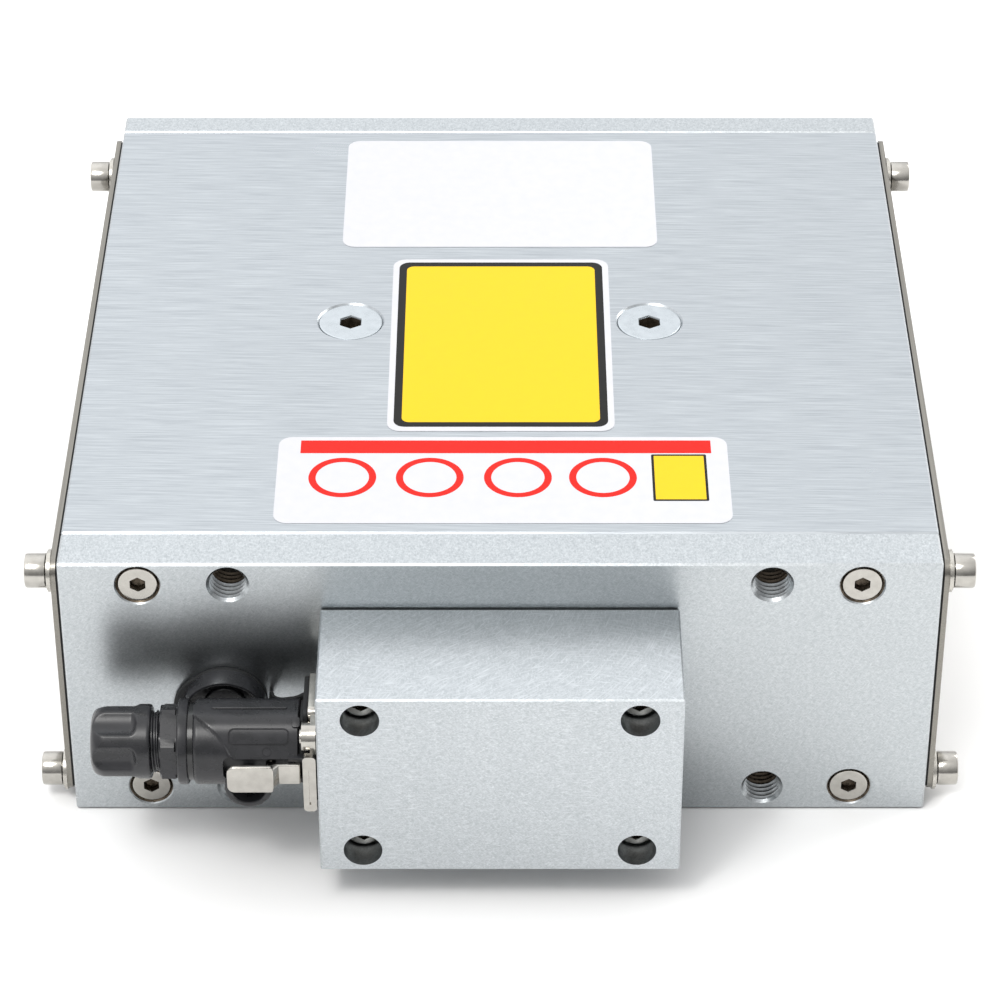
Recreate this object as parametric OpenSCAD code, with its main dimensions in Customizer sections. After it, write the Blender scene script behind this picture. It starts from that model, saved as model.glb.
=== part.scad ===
// Robot magnetic gripper: a square block electromagnet with a terminal box and a
// latching power connector on its front face. Millimetres, +Z up, the pole face at
// Z = 0, X to the right and -Y to the front.

/* [Body] */
// Width of the magnet body, side to side
body_w = 250; // [244:1:256]
// Depth of the magnet body, front face to rear face
body_d = 250; // [244:1:256]
// Height of the magnet body, pole face to top
body_h = 90; // [88:1:94]
// Thickness of the front pole plate
front_plate_t = 15; // [14:1:17]
// Thickness of the rear pole plate
rear_plate_t = 10; // [9:1:12]
// Thickness of the top yoke
yoke_t = 20; // [18:1:22]
// Thickness of the non-magnetic base plate
base_plate_t = 16; // [15:1:18]
// Width of the centre core
core_w = 124; // [116:2:130]
// Depth of the centre core, front to back
core_d = 60; // [50:2:70]
// Thickness of the winding, all round the core
winding_t = 48; // [40:1:50]

/* [Side covers] */
// Thickness of the rubber gasket under a side cover
gasket_t = 1; // [0.8:0.1:1.5]
// Thickness of a side cover
cover_t = 1.5; // [1:0.1:2]
// Corner radius of a side cover
cover_r = 5; // [3:1:8]

/* [Mounting holes] */
// Sideways spacing of the M12 holes in the front face
m12_spacing_x = 154; // [150:1:158]
// Upright spacing of the M12 holes in the front face
m12_spacing_z = 74.6; // [72:0.2:75]
// Sideways spacing of the countersunk plate screws
plate_screw_x = 205; // [200:1:210]
// Upright spacing of the countersunk plate screws
plate_screw_z = 74; // [72:1:75]

/* [Terminal box] */
// Width of the terminal box
box_w = 102; // [98:1:106]
// Depth of the terminal box, without its gasket
box_d = 41.2; // [40:0.2:44]
// Height of the terminal box
box_h = 62; // [60:1:64]
// Height of the terminal box above the pole face
box_z = 12.8; // [11:0.2:14]

/* [Connector] */
// Height of the connector's axis above the pole face
plug_z = 44.2; // [43:0.2:46]
// Distance of the connector's axis from the front face of the body
plug_out = 22.5; // [22:0.5:24]
// Radius of the plug's main body
plug_r = 12.15; // [12:0.05:12.5]
// Length of the plug's main body
plug_l = 30; // [30:0.5:31]
// Side of the socket's square flange
flange_w = 26.6; // [26:0.2:27]
// Length of the gland nut
gland_l = 17; // [17:0.5:18]
// Radius of the gland nut
gland_r = 10.6; // [10.4:0.1:10.8]

/* [Hidden] */
$fn = 48;
thread_gap = 0.05;        // radial room between a screw and its tapped hole
fit_gap = 0.3;            // room between parts that only sit beside each other
front_y = -body_d / 2;
rear_y = body_d / 2;
yoke_y0 = front_y + front_plate_t;
yoke_y1 = rear_y - rear_plate_t;
yoke_z = body_h - yoke_t;
side_x = body_w / 2;

m6_r = 3;
m10_r = 5;
m12_tap_r = 5.1;
m12_mouth_r = 6.05;
m12_beyond = 9;           // depth of the M12 holes beyond the front plate
m12_z = [body_h / 2 + 0.5 - m12_spacing_z / 2, body_h / 2 + 0.5 + m12_spacing_z / 2];
plate_z = [body_h / 2 + 0.5 - plate_screw_z / 2, body_h / 2 + 0.5 + plate_screw_z / 2];
plate_x = [-plate_screw_x / 2, plate_screw_x / 2];
front_screw_l = 30;
rear_screw_l = 25;
core_screw_x = 46;
core_screw_l = 45;

cover_y0 = front_y + 3;
cover_y1 = rear_y - 7;
cover_z0 = 3;
cover_z1 = body_h - 3;
side_screw_y = [front_y + 8.5, rear_y - 24.5];
side_screw_z = [8.5, body_h - 8.5];
side_screw_l = 16;
plate_edge = 0.6;
yoke_edge = 0.5;
flat_washer_t = 0.9;
spring_washer_t = 0.7;
washer_x = side_x + gasket_t + cover_t;
side_head_x = washer_x + flat_washer_t + spring_washer_t;

former_t = 2;
former_z0 = base_plate_t + 0.5;
former_z1 = yoke_z - 0.5;
winding_x = core_w / 2 + fit_gap + former_t + winding_t;
winding_y = core_d / 2 + fit_gap + former_t + winding_t;
flange_over = 2;          // how far the former's flanges stand past the winding
lead_x = 5;
lead_z = 46;
lead_r = 1.5;
lead_hole_r = 9;

box_gasket_t = 0.8;
box_y0 = front_y - box_gasket_t - box_d;
box_y1 = front_y - box_gasket_t;
box_screw_x = 38.8;
box_screw_z = [box_z + 7.5, box_z + box_h - 7.4];
box_bore_depth = 14;
box_cavity = [29, 32, 20];   // half width, depth from the back, half height
box_mid_z = box_z + box_h / 2;

plug_y = front_y - plug_out;
strip_lo = [-13, plug_y - 6, lead_z - 8];
strip_hi = [13, plug_y + 8, lead_z + 8];
pin_angles = [90, 210, 330];
pin_circle = 3.6;
pin_r = 0.9;
box_x = -box_w / 2;
socket_gasket_t = 0.6;
flange_t = 1.6;
flange_x = box_x - socket_gasket_t;
flange_face_x = flange_x - flange_t;
boss_r = 4.2;
boss_t = 4;
flange_screw = flange_w / 2 - boss_r;
neck_r = 8.8;
neck_x = flange_face_x - 2.4;
barrel_r = 7.3;
plug_x1 = neck_x - 0.9;
plug_x0 = plug_x1 - plug_l;
mouth_r = 7.8;
mouth_depth = 12.4;
chamber_r = 7;
collar_ring_x = plug_x0 - 1.5;   // right face of the collar's ring
collar_hex_x = collar_ring_x - 3;
thread_x = collar_hex_x - 5;     // where the gland's thread starts
thread_r = 8.9;
thread_l = 9.2;
stem_r = 8.6;                    // tube behind the thread, a running fit in the nut
gland_turn_gap = 2.6;            // thread left in view with the gland slack
gland_x1 = thread_x - gland_turn_gap;
gland_x0 = gland_x1 - gland_l;
gland_mouth = 5.2;
gland_socket = 9;
gland_wall = 4;
gland_bore = 6.9;
turn_gap = 0.1;                  // running room round the parts that turn or feed
seal_l = 9;
cable_r = 5.2;

recess_floor = 8.7;       // distance of the lever recess from the plug's axis
recess_x0 = plug_x1 - 21.4;
recess_z = [plug_z - 4.6, plug_z + 5.4];
pivot_x = plug_x1 - 8;
pivot_y = plug_y - 10.4;
pivot_r = 0.7;
pin_z = [plug_z - 7, plug_z + 6.8];
lever_face = 16.6;        // distance of the pad's face from the plug's axis
arm_face = 14.5;
pad_t = 1.5;
pad_x = [plug_x1 - 20.1, plug_x1 - 7.1];
pad_z = [plug_z - 5.2, plug_z + 3.9];
arm_z = [plug_z - 3.6, plug_z + 3.7];
arm_end_x = plug_x1 + 0.6;
hook_z = [plug_z - 2.4, plug_z + 2.5];
cup_x = plug_x1 - 14.5;
cup_z = plug_z - 7.2;
cup_r = 6.6;
spring_z = plug_z - 3.4;
spring_r = 1.8;
spring_wire = 0.25;
spring_turns = 5;
spring_y0 = plug_y - 7.9;
spring_y1 = plug_y - lever_face + pad_t + fit_gap;

cap_x = -79.2;
cap_z = 41.2;
cap_r = 12.1;
cap_depth = 7.6;
cap_wall = 1.9;
cap_rim = 1.1;
cap_pad_r = 6.1;
cap_ring_t = 1.6;
// Route of the strap's middle from the ring on the socket's neck to the ring on the cap
strap_route = [[-55.2, -138.9, 50.6], [-55.2, -134.6, 49.9], [-58.8, -133.6, 47.8],
    [-62.8, -131.6, 45.6], [-65.2, -128.9, 44.4], [-66, -126.2, 43.6]];
strap_section = [1.5, 1.5, 4.5];

// ---------------------------------------------------------------- shared shapes

// Rectangle from a to b with its four corners cut at 45 degrees
module cut_rect(a, b, c) {
    polygon([[a.x + c, a.y], [b.x - c, a.y], [b.x, a.y + c], [b.x, b.y - c],
        [b.x - c, b.y], [a.x + c, b.y], [a.x, b.y - c], [a.x, a.y + c]]);
}

// Block from corner a to corner b with every edge broken by c
module broken_block(a, b, c) {
    intersection() {
        translate([0, 0, a.z]) linear_extrude(b.z - a.z) cut_rect([a.x, a.y], [b.x, b.y], c);
        translate([0, b.y, 0]) rotate([90, 0, 0]) linear_extrude(b.y - a.y)
            cut_rect([a.x, a.z], [b.x, b.z], c);
        translate([a.x, 0, 0]) rotate([90, 0, 90]) linear_extrude(b.x - a.x)
            cut_rect([a.y, a.z], [b.y, b.z], c);
    }
}

module block(a, b) {
    translate(a) cube(b - a);
}

// Rectangle centred on the origin with round corners
module round_rect(w, h, r) {
    square([w - 2 * r, h], center = true);
    square([w, h - 2 * r], center = true);
    for (x = [-1, 1], y = [-1, 1])
        translate([x * (w / 2 - r), y * (h / 2 - r)]) circle(r);
}

// Cylinder from x0 to x1 along X, through the point (y, z)
module rod_x(x0, x1, y, z, r) {
    translate([x0, y, z]) rotate([0, 90, 0]) cylinder(h = x1 - x0, r = r);
}

// Cylinder from y0 to y1 along Y, through the point (x, z)
module rod_y(y0, y1, x, z, r) {
    translate([x, y1, z]) rotate([90, 0, 0]) cylinder(h = y1 - y0, r = r);
}

module tube_x(x0, x1, y, z, r_out, r_in) {
    difference() {
        rod_x(x0, x1, y, z, r_out);
        rod_x(x0 - 1, x1 + 1, y, z, r_in);
    }
}

// Turned solid about the plug's axis, from points [radius, distance along +X from x]
module turned_x(x, points) {
    translate([x, plug_y, plug_z]) rotate([0, 90, 0]) rotate_extrude() polygon(points);
}

// Countersunk socket screw, the face of its head at Z = 0 and its shank downwards
module csk_screw(r, head_r, land, length, flats, socket) {
    difference() {
        rotate_extrude() polygon([[0, 0], [head_r - 0.2, 0], [head_r, -0.2], [head_r, -land],
            [r, -land - head_r + r], [r, -length + 0.6], [r - 0.6, -length], [0, -length]]);
        translate([0, 0, -socket]) cylinder(h = socket + 1, r = flats / sqrt(3), $fn = 6);
    }
}

// Cone and through hole for a countersunk screw, its mouth at Z = 0
module csk_hole(mouth_r, r, length) {
    translate([0, 0, -mouth_r + r]) cylinder(h = mouth_r - r, r1 = r, r2 = mouth_r);
    translate([0, 0, -length]) cylinder(h = length, r = r);
    cylinder(h = 1, r = mouth_r);
}

// Socket cap screw, its head standing on Z = 0
module cap_screw(r, head_r, head_h, length, flats, socket) {
    edge = head_h / 9;
    difference() {
        rotate_extrude() polygon([[0, head_h], [head_r - edge, head_h], [head_r, head_h - edge],
            [head_r, edge / 4], [head_r - edge / 4, 0], [r, 0], [r, -length + r / 5],
            [r * 0.8, -length], [0, -length]]);
        translate([0, 0, head_h - socket]) cylinder(h = socket + 1, r = flats / sqrt(3), $fn = 6);
    }
}

// Places its children at the four plate screws of the face that looks along side * Y
module at_plate_screws(y, side) {
    for (x = plate_x, z = plate_z)
        translate([x, y, z]) rotate([-90 * side, 0, 0]) children();
}

// Places its children at the four screws of both sides, Z pointing outwards
module at_side_screws(x) {
    for (side = [-1, 1], y = side_screw_y, z = side_screw_z)
        translate([side * x, y, z]) rotate([0, 90 * side, 0]) children();
}

module at_box_screws(y) {
    for (x = [-box_screw_x, box_screw_x], z = box_screw_z)
        translate([x, y, z]) rotate([90, 0, 0]) children();
}

module at_flange_screws(x) {
    for (y = [-flange_screw, flange_screw], z = [-flange_screw, flange_screw])
        translate([x, plug_y + y, plug_z + z]) rotate([0, -90, 0]) children();
}

// Places its children on the connector's three contacts at x, Z pointing along +X
module at_pins(x) {
    for (a = pin_angles)
        translate([x, plug_y + pin_circle * cos(a), plug_z + pin_circle * sin(a)])
            rotate([0, 90, 0]) children();
}

// Tapped holes that the side cover screws go into
module side_tappings() {
    at_side_screws(side_x - 13) cylinder(h = 14, r = m6_r + thread_gap);
}

// ---------------------------------------------------------------- magnet

module front_pole_plate() {
    color("#c3cacd") difference() {
        broken_block([-side_x, front_y, 0], [side_x, yoke_y0, body_h], plate_edge);
        at_plate_screws(front_y, -1) csk_hole(6.7, 3.3, front_plate_t + 1);
        for (x = [-m12_spacing_x / 2, m12_spacing_x / 2], z = m12_z) {
            rod_y(front_y - 1, yoke_y0 + 1, x, z, m12_tap_r);
            translate([x, front_y, z]) rotate([-90, 0, 0])
                cylinder(h = m12_mouth_r - m12_tap_r, r1 = m12_mouth_r, r2 = m12_tap_r);
        }
        for (x = [-box_screw_x, box_screw_x], z = box_screw_z)
            rod_y(front_y - 1, front_y + 12.5, x, z, m6_r + thread_gap);
        rod_y(front_y - 1, yoke_y0 + 1, 0, lead_z, lead_hole_r);
        side_tappings();
    }
}

module rear_pole_plate() {
    color("#c3cacd") difference() {
        broken_block([-side_x, yoke_y1, 0], [side_x, rear_y, body_h], plate_edge);
        at_plate_screws(rear_y, 1) csk_hole(6.7, 3.3, rear_plate_t + 1);
    }
}

// Tapped holes for the plate screws and the far ends of the M12 holes, at height index i
module edge_tappings(i) {
    for (x = plate_x) {
        rod_y(yoke_y0 - 1, front_y + front_screw_l + 1.5, x, plate_z[i], m6_r + thread_gap);
        rod_y(rear_y - rear_screw_l - 1.5, yoke_y1 + 1, x, plate_z[i], m6_r + thread_gap);
    }
    for (x = [-m12_spacing_x / 2, m12_spacing_x / 2])
        rod_y(yoke_y0 - 1, yoke_y0 + m12_beyond, x, m12_z[i], m12_tap_r);
}

module top_yoke() {
    color("#c9cfd2") difference() {
        broken_block([-side_x, yoke_y0, yoke_z], [side_x, yoke_y1, body_h], yoke_edge);
        for (x = [-core_screw_x, core_screw_x])
            translate([x, 0, body_h]) csk_hole(10.4, 5.5, yoke_t + 1);
        edge_tappings(1);
        side_tappings();
    }
}

module base_plate() {
    color("#b9bcbd") difference() {
        broken_block([-side_x, yoke_y0, 0], [side_x, yoke_y1, base_plate_t], yoke_edge);
        block([-core_w / 2, -core_d / 2, -1], [core_w / 2, core_d / 2, base_plate_t + 1]);
        edge_tappings(0);
        side_tappings();
    }
}

module centre_core() {
    color("#aab0b3") difference() {
        block([-core_w / 2, -core_d / 2, 0], [core_w / 2, core_d / 2, yoke_z]);
        for (x = [-core_screw_x, core_screw_x])
            translate([x, 0, body_h - core_screw_l - 5])
                cylinder(h = core_screw_l, r = m10_r + thread_gap);
    }
}

module coil_former() {
    inner = [core_w + 2 * fit_gap, core_d + 2 * fit_gap];
    outer = [2 * (winding_x + flange_over), 2 * (winding_y + flange_over)];
    color("#3d4a3c") difference() {
        union() {
            translate([0, 0, former_z0]) linear_extrude(former_z1 - former_z0)
                square([inner.x + 2 * former_t, inner.y + 2 * former_t], center = true);
            for (z = [former_z0, former_z1 - former_t])
                translate([0, 0, z]) linear_extrude(former_t) round_rect(outer.x, outer.y, 12);
        }
        translate([0, 0, former_z0 - 1]) linear_extrude(former_z1 - former_z0 + 2)
            square([inner.x, inner.y], center = true);
    }
}

module coil_winding() {
    inner = [2 * (winding_x - winding_t), 2 * (winding_y - winding_t)];
    color("#b5652f") difference() {
        translate([0, 0, former_z0 + former_t])
            linear_extrude(former_z1 - former_z0 - 2 * former_t)
                round_rect(2 * winding_x, 2 * winding_y, 30);
        block([-inner.x / 2, -inner.y / 2, 0], [inner.x / 2, inner.y / 2, body_h]);
    }
}

module potting_resin() {
    pocket = [winding_x + flange_over + fit_gap, winding_y + flange_over + fit_gap];
    color("#5a3d2c") difference() {
        block([-side_x, yoke_y0, base_plate_t], [side_x, yoke_y1, yoke_z]);
        block([-pocket.x, -pocket.y, 0], [pocket.x, pocket.y, body_h]);
        for (x = [-lead_x, lead_x])
            rod_y(yoke_y0 - 1, -winding_y, x, lead_z, lead_r);
    }
}

module coil_leads() {
    color("#b8352c") for (x = [-lead_x, lead_x])
        rod_y(strip_hi.y - 4, -winding_y, x, lead_z, lead_r);
}

module front_plate_screws() {
    color("#d2d0c9") at_plate_screws(front_y + 0.4, -1)
        translate([0, 0, thread_gap]) csk_screw(m6_r, 6, 0.3, front_screw_l, 4, 2.4);
}

module rear_plate_screws() {
    color("#d2d0c9") at_plate_screws(rear_y - 0.4, 1)
        translate([0, 0, thread_gap]) csk_screw(m6_r, 6, 0.3, rear_screw_l, 4, 2.4);
}

module core_screws() {
    color("#c6ccce") for (x = [-core_screw_x, core_screw_x])
        translate([x, 0, body_h - 0.1 + thread_gap])
            csk_screw(m10_r, 10, 0.3, core_screw_l, 6, 4);
}

// ---------------------------------------------------------------- side covers

// Sheet on the side that looks along side * X, from x0 outwards
module side_sheet(side, x0, t, inset) {
    w = cover_y1 - cover_y0 - 2 * inset;
    h = cover_z1 - cover_z0 - 2 * inset;
    difference() {
        translate([side > 0 ? x0 : -x0 - t, (cover_y0 + cover_y1) / 2, (cover_z0 + cover_z1) / 2])
            rotate([90, 0, 90]) linear_extrude(t) round_rect(w, h, cover_r);
        at_side_screws(side_x - 1) cylinder(h = 20, r = 3.3);
    }
}

module side_gasket(side) {
    color("#1c1d1e") difference() {
        side_sheet(side, side_x, gasket_t, 0.4);
        block([-side_x - 5, yoke_y0 + 2, base_plate_t + 2], [side_x + 5, yoke_y1 - 24, yoke_z - 2]);
    }
}

module side_gasket_left() {
    side_gasket(-1);
}

module side_gasket_right() {
    side_gasket(1);
}

module side_cover_left() {
    color("#a6a49f") side_sheet(-1, side_x + gasket_t, cover_t, 0);
}

module side_cover_right() {
    color("#a6a49f") side_sheet(1, side_x + gasket_t, cover_t, 0);
}

module side_flat_washers() {
    color("#c9c7c1") at_side_screws(washer_x) difference() {
        cylinder(h = flat_washer_t, r = 6.2);
        translate([0, 0, -1]) cylinder(h = 3, r = 3.2);
    }
}

module side_spring_washers() {
    t = spring_washer_t;
    color("#b9b6ae") at_side_screws(washer_x + flat_washer_t) rotate_extrude()
        polygon([[3.15, t * 0.45], [5.3, 0], [5.7, 0], [5.7, t * 0.45], [3.6, t], [3.15, t]]);
}

module side_cover_screws() {
    color("#cfccc5") at_side_screws(side_head_x) cap_screw(m6_r, 5, 6, side_screw_l, 5, 3);
}

// ---------------------------------------------------------------- terminal box

module terminal_box() {
    c = box_cavity;
    color("#c3cacd") difference() {
        broken_block([-box_w / 2, box_y0, box_z], [box_w / 2, box_y1, box_z + box_h], yoke_edge);
        block([-c.x, box_y1 - c.y, box_mid_z - c.z], [c.x, box_y1 + 1, box_mid_z + c.z]);
        at_box_screws(box_y0) {
            translate([0, 0, -box_bore_depth]) cylinder(h = box_bore_depth + 1, r = 5.5);
            translate([0, 0, -box_d - 1]) cylinder(h = box_d, r = 3.3);
        }
        rod_x(box_x - 1, -c.x + 1, plug_y, plug_z, 8.1);
        at_flange_screws(box_x + 8) cylinder(h = 9, r = 1.5 + thread_gap);
    }
}

module terminal_box_gasket() {
    c = box_cavity;
    color("#202122") difference() {
        block([-box_w / 2 + 0.9, box_y1, box_z + 0.9], [box_w / 2 - 0.9, front_y, box_z + box_h - 0.9]);
        block([-c.x, box_y1 - 1, box_mid_z - c.z], [c.x, front_y + 1, box_mid_z + c.z]);
        at_box_screws(front_y + 5) cylinder(h = 20, r = 3.3);
    }
}

module terminal_box_screws() {
    color("#c9ced0") at_box_screws(box_y0 + box_bore_depth) cap_screw(m6_r, 5, 6, 40, 5, 3);
}

module terminal_strip() {
    color("#e4e0d4") difference() {
        block(strip_lo, strip_hi);
        for (x = [-lead_x, lead_x]) {
            rod_y(strip_hi.y - 4, strip_hi.y + 1, x, lead_z, lead_r);
            translate([x, (strip_lo.y + strip_hi.y) / 2, lead_z + 4]) cylinder(h = 6, r = 2.6);
        }
    }
}

module terminal_clamps() {
    color("#c9a24a") for (x = [-lead_x, lead_x])
        translate([x, (strip_lo.y + strip_hi.y) / 2, lead_z + 4]) difference() {
            cylinder(h = 3, r = 2.5);
            block([-3, -0.4, 2], [3, 0.4, 4]);
        }
}

module socket_wires() {
    color("#2b4f9c") at_pins(box_x + 20) cylinder(h = strip_lo.x - box_x - 20, r = 1.2);
}

// ---------------------------------------------------------------- socket

module socket_gasket() {
    color("#1c1d1e") difference() {
        translate([flange_x, plug_y, plug_z]) rotate([90, 0, 90])
            linear_extrude(socket_gasket_t) round_rect(flange_w - 0.8, flange_w - 0.8, 3.6);
        rod_x(flange_x - 1, box_x + 1, plug_y, plug_z, 8.1);
        at_flange_screws(box_x + 1) cylinder(h = 5, r = 1.7);
    }
}

module socket_flange() {
    color("#c8c4bb") difference() {
        union() {
            translate([flange_face_x, plug_y, plug_z]) rotate([90, 0, 90])
                linear_extrude(flange_t) round_rect(flange_w, flange_w, boss_r);
            translate([flange_x - boss_t, plug_y - flange_screw, plug_z + flange_screw])
                rotate([0, 90, 0]) cylinder(h = boss_t, r = boss_r);
            rod_x(neck_x, flange_x, plug_y, plug_z, neck_r);
            rod_x(flange_x, box_x + 12, plug_y, plug_z, 8);
        }
        rod_x(neck_x - 1, box_x + 13, plug_y, plug_z, barrel_r);
        at_flange_screws(box_x + 1) cylinder(h = 9, r = 1.6);
    }
}

module flange_screws() {
    color("#d8d5cd") for (y = [-1, 1], z = [-1, 1]) {
        head_x = (y < 0 && z > 0) ? flange_x - boss_t : flange_face_x;
        translate([head_x, plug_y + y * flange_screw, plug_z + z * flange_screw])
            rotate([0, -90, 0]) cap_screw(1.5, 2.3, 0.6, head_x == flange_face_x ? 9 : 11, 1.5, 0.4);
    }
}

// Latch plate on the front edge of the flange, with the stirrup that the lever hooks into
module socket_catch() {
    plate_y = plug_y - flange_w / 2;
    bar_x = plug_x1 - 2.9;
    rail_y = [plug_y - 12.8, plug_y - 10.8];
    rails = [[plug_z - 4.3, plug_z - 2.9], [plug_z + 2.9, plug_z + 4.4]];
    color("#cbc7bf") difference() {
        union() {
            translate([flange_x - 1.85, plate_y, plug_z - 3.1]) rotate([90, 0, 0])
                linear_extrude(2.2) round_rect(3.7, 19.6, 1.2);
            for (z = rails)
                block([bar_x, rail_y[0], z[0]], [flange_face_x, rail_y[1], z[1]]);
            block([bar_x, rail_y[0] + 0.2, rails[0][0]], [bar_x + 1.3, rail_y[1], rails[1][1]]);
            block([flange_face_x - 0.6, plate_y - 0.1, rails[0][0]],
                [flange_face_x, rail_y[1], rails[1][1]]);
        }
        block([flange_x - 2.1, plate_y - 3, plug_z - 10.5], [flange_x - 1.6, plate_y - 1.6, plug_z + 2]);
    }
}

module socket_insert() {
    color("#232426") difference() {
        rod_x(plug_x1 - mouth_depth + 0.5, box_x + 15, plug_y, plug_z, barrel_r);
        at_pins(plug_x1 - mouth_depth - 1) cylinder(h = 40, r = pin_r);
    }
}

module socket_pins() {
    start = plug_x1 - mouth_depth - 6;
    color("#d9b45a") at_pins(start) cylinder(h = box_x + 20 - start, r = pin_r);
}

// ---------------------------------------------------------------- dust cap

module dust_cap() {
    color("#232426") difference() {
        rod_y(front_y - cap_depth, front_y, cap_x, cap_z, cap_r);
        difference() {
            rod_y(front_y - cap_depth - 1, front_y - cap_wall, cap_x, cap_z, cap_r - cap_rim);
            rod_y(front_y - cap_wall - 1, front_y, cap_x, cap_z, cap_pad_r);
        }
    }
}

// Flat strap, as boxes hulled along its route, with a ring at each end
module cap_strap() {
    color("#1f2022") {
        for (i = [0 : len(strap_route) - 2])
            hull() {
                translate(strap_route[i]) cube(strap_section, center = true);
                translate(strap_route[i + 1]) cube(strap_section, center = true);
            }
        difference() {
            tube_x(neck_x + 0.1, flange_face_x - 0.8, plug_y, plug_z, neck_r + 1.6,
                neck_r + thread_gap);
            rod_x(neck_x - 1, flange_face_x, plug_y - flange_screw, plug_z + flange_screw, boss_r + 0.1);
        }
        difference() {
            union() {
                rod_y(front_y - cap_ring_t, front_y, cap_x, cap_z, cap_r + 0.7);
                rod_y(front_y - cap_ring_t, front_y, cap_x - 2.1, cap_z - 2.6, cap_r + 1);
            }
            rod_y(front_y - cap_ring_t - 1, front_y + 1, cap_x, cap_z, cap_r + thread_gap);
        }
    }
}

// ---------------------------------------------------------------- plug

// Round section of the plug, pulled out to a soft corner that faces up and forwards
module panel_section() {
    corner_d = 8.3;
    corner_r = 5;
    elevation = 142;
    spread = acos((plug_r - corner_r) / corner_d);
    circle(plug_r);
    rotate(elevation) {
        translate([corner_d, 0]) circle(corner_r);
        polygon([[0, 0], plug_r * [cos(spread), -sin(spread)],
            [corner_d, 0] + corner_r * [cos(spread), -sin(spread)],
            [corner_d, 0] + corner_r * [cos(spread), sin(spread)],
            plug_r * [cos(spread), sin(spread)]]);
    }
}

module plug_body() {
    ear_z = plug_z - 7.8;
    color("#2b2c2f") difference() {
        union() {
            turned_x(plug_x0, [[0, 0], [plug_r - 1.1, 0], [plug_r - 0.3, 0.4], [plug_r, 1.2],
                [plug_r, plug_l], [0, plug_l]]);
            translate([plug_x1 - 17, plug_y, plug_z]) rotate([90, 0, 90])
                linear_extrude(17) panel_section();
            rod_y(plug_y - 12, plug_y - 6, cup_x, cup_z, cup_r);
            block([plug_x1 - 11.5, plug_y - 12.1, ear_z], [plug_x1, plug_y - 4, ear_z + 4]);
        }
        translate([recess_x0 + 15, plug_y - recess_floor, (recess_z[0] + recess_z[1]) / 2])
            rotate([90, 0, 0]) linear_extrude(10)
                round_rect(30, recess_z[1] - recess_z[0], 2.2);
        rod_y(plug_y - 13, plug_y - 8.3, cup_x, cup_z, cup_r - 1.7);
        rod_y(plug_y - 13, spring_y0, cup_x, spring_z, spring_r + 0.3);
        rod_x(plug_x1 - mouth_depth, plug_x1 + 1, plug_y, plug_z, mouth_r);
        rod_x(plug_x0 - 1, plug_x1, plug_y, plug_z, chamber_r);
        rod_x(plug_x0 - 1, plug_x0 + 6, plug_y, plug_z, 10.2);
        lever_pin_solid(0);
    }
}

module plug_seal() {
    color("#8c3b2a") tube_x(plug_x1 - 6, plug_x1 - 4, plug_y, plug_z, mouth_r, barrel_r);
}

module plug_insert() {
    color("#232426") difference() {
        rod_x(plug_x0 + 7, plug_x1 - mouth_depth, plug_y, plug_z, chamber_r);
        at_pins(plug_x0) cylinder(h = plug_l, r = 1.5);
    }
}

module plug_contacts() {
    length = plug_l - mouth_depth - 5;
    color("#d9b45a") at_pins(plug_x0 + 5) difference() {
        cylinder(h = length, r = 1.5);
        translate([0, 0, -1]) cylinder(h = length + 2, r = pin_r + thread_gap);
    }
}

module lever_pin_solid(room) {
    translate([pivot_x, pivot_y, pin_z[0]]) cylinder(h = pin_z[1] - pin_z[0], r = pivot_r + room);
}

module release_lever() {
    pad_y = plug_y - lever_face;
    arm_y = plug_y - arm_face;
    lug_r = 1.4;
    color("#cfccc4") difference() {
        union() {
            translate([(pad_x[0] + pad_x[1]) / 2, pad_y + pad_t, (pad_z[0] + pad_z[1]) / 2])
                rotate([90, 0, 0]) linear_extrude(pad_t)
                    round_rect(pad_x[1] - pad_x[0], pad_z[1] - pad_z[0], 2);
            translate([0, 0, arm_z[0]]) linear_extrude(arm_z[1] - arm_z[0])
                polygon([[pad_x[1] - 2, pad_y], [pad_x[1], pad_y], [pad_x[1] + 1.6, arm_y],
                    [arm_end_x - 0.6, arm_y], [arm_end_x, arm_y + 0.6], [arm_end_x, arm_y + 1.4],
                    [pad_x[1], arm_y + 1.4], [pad_x[1] - 2, pad_y + pad_t]]);
            block([arm_end_x - 1.5, arm_y + 1, hook_z[0]], [arm_end_x, arm_y + 3.2, hook_z[1]]);
            translate([pivot_x, pivot_y, arm_z[0]]) cylinder(h = arm_z[1] - arm_z[0], r = lug_r);
            block([pivot_x - 0.8, pad_y + 1, arm_z[0]], [pivot_x + 0.8, pivot_y, arm_z[1]]);
        }
        lever_pin_solid(thread_gap);
    }
}

module lever_pin() {
    color("#cfccc4") lever_pin_solid(0);
}

// Point of the spring's wire ring j, and its section around that point
function spring_centre(t) = let (a = 360 * spring_turns * t, r = spring_r - spring_wire)
    [cup_x + r * cos(a), spring_y0 - spring_wire - t * (spring_y0 - spring_y1 - 2 * spring_wire),
        spring_z + r * sin(a)];

module lever_spring() {
    rings = spring_turns * 16;
    sides = 6;
    points = [for (j = [0 : rings]) let (t = j / rings, a = 360 * spring_turns * t, c = spring_centre(t))
        for (k = [0 : sides - 1]) let (b = 360 * k / sides)
            c + spring_wire * [cos(b) * cos(a), sin(b), cos(b) * sin(a)]];
    sides_faces = [for (j = [0 : rings - 1], k = [0 : sides - 1]) let (n = (k + 1) % sides)
        [j * sides + k, j * sides + n, (j + 1) * sides + n, (j + 1) * sides + k]];
    ends = [[for (k = [sides - 1 : -1 : 0]) k], [for (k = [0 : sides - 1]) rings * sides + k]];
    color("#d8d5cd") polyhedron(points, concat(sides_faces, ends));
}

// ---------------------------------------------------------------- gland

module collar_seal() {
    color("#141516") tube_x(collar_ring_x, plug_x0, plug_y, plug_z, 11, 10.2);
}

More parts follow.
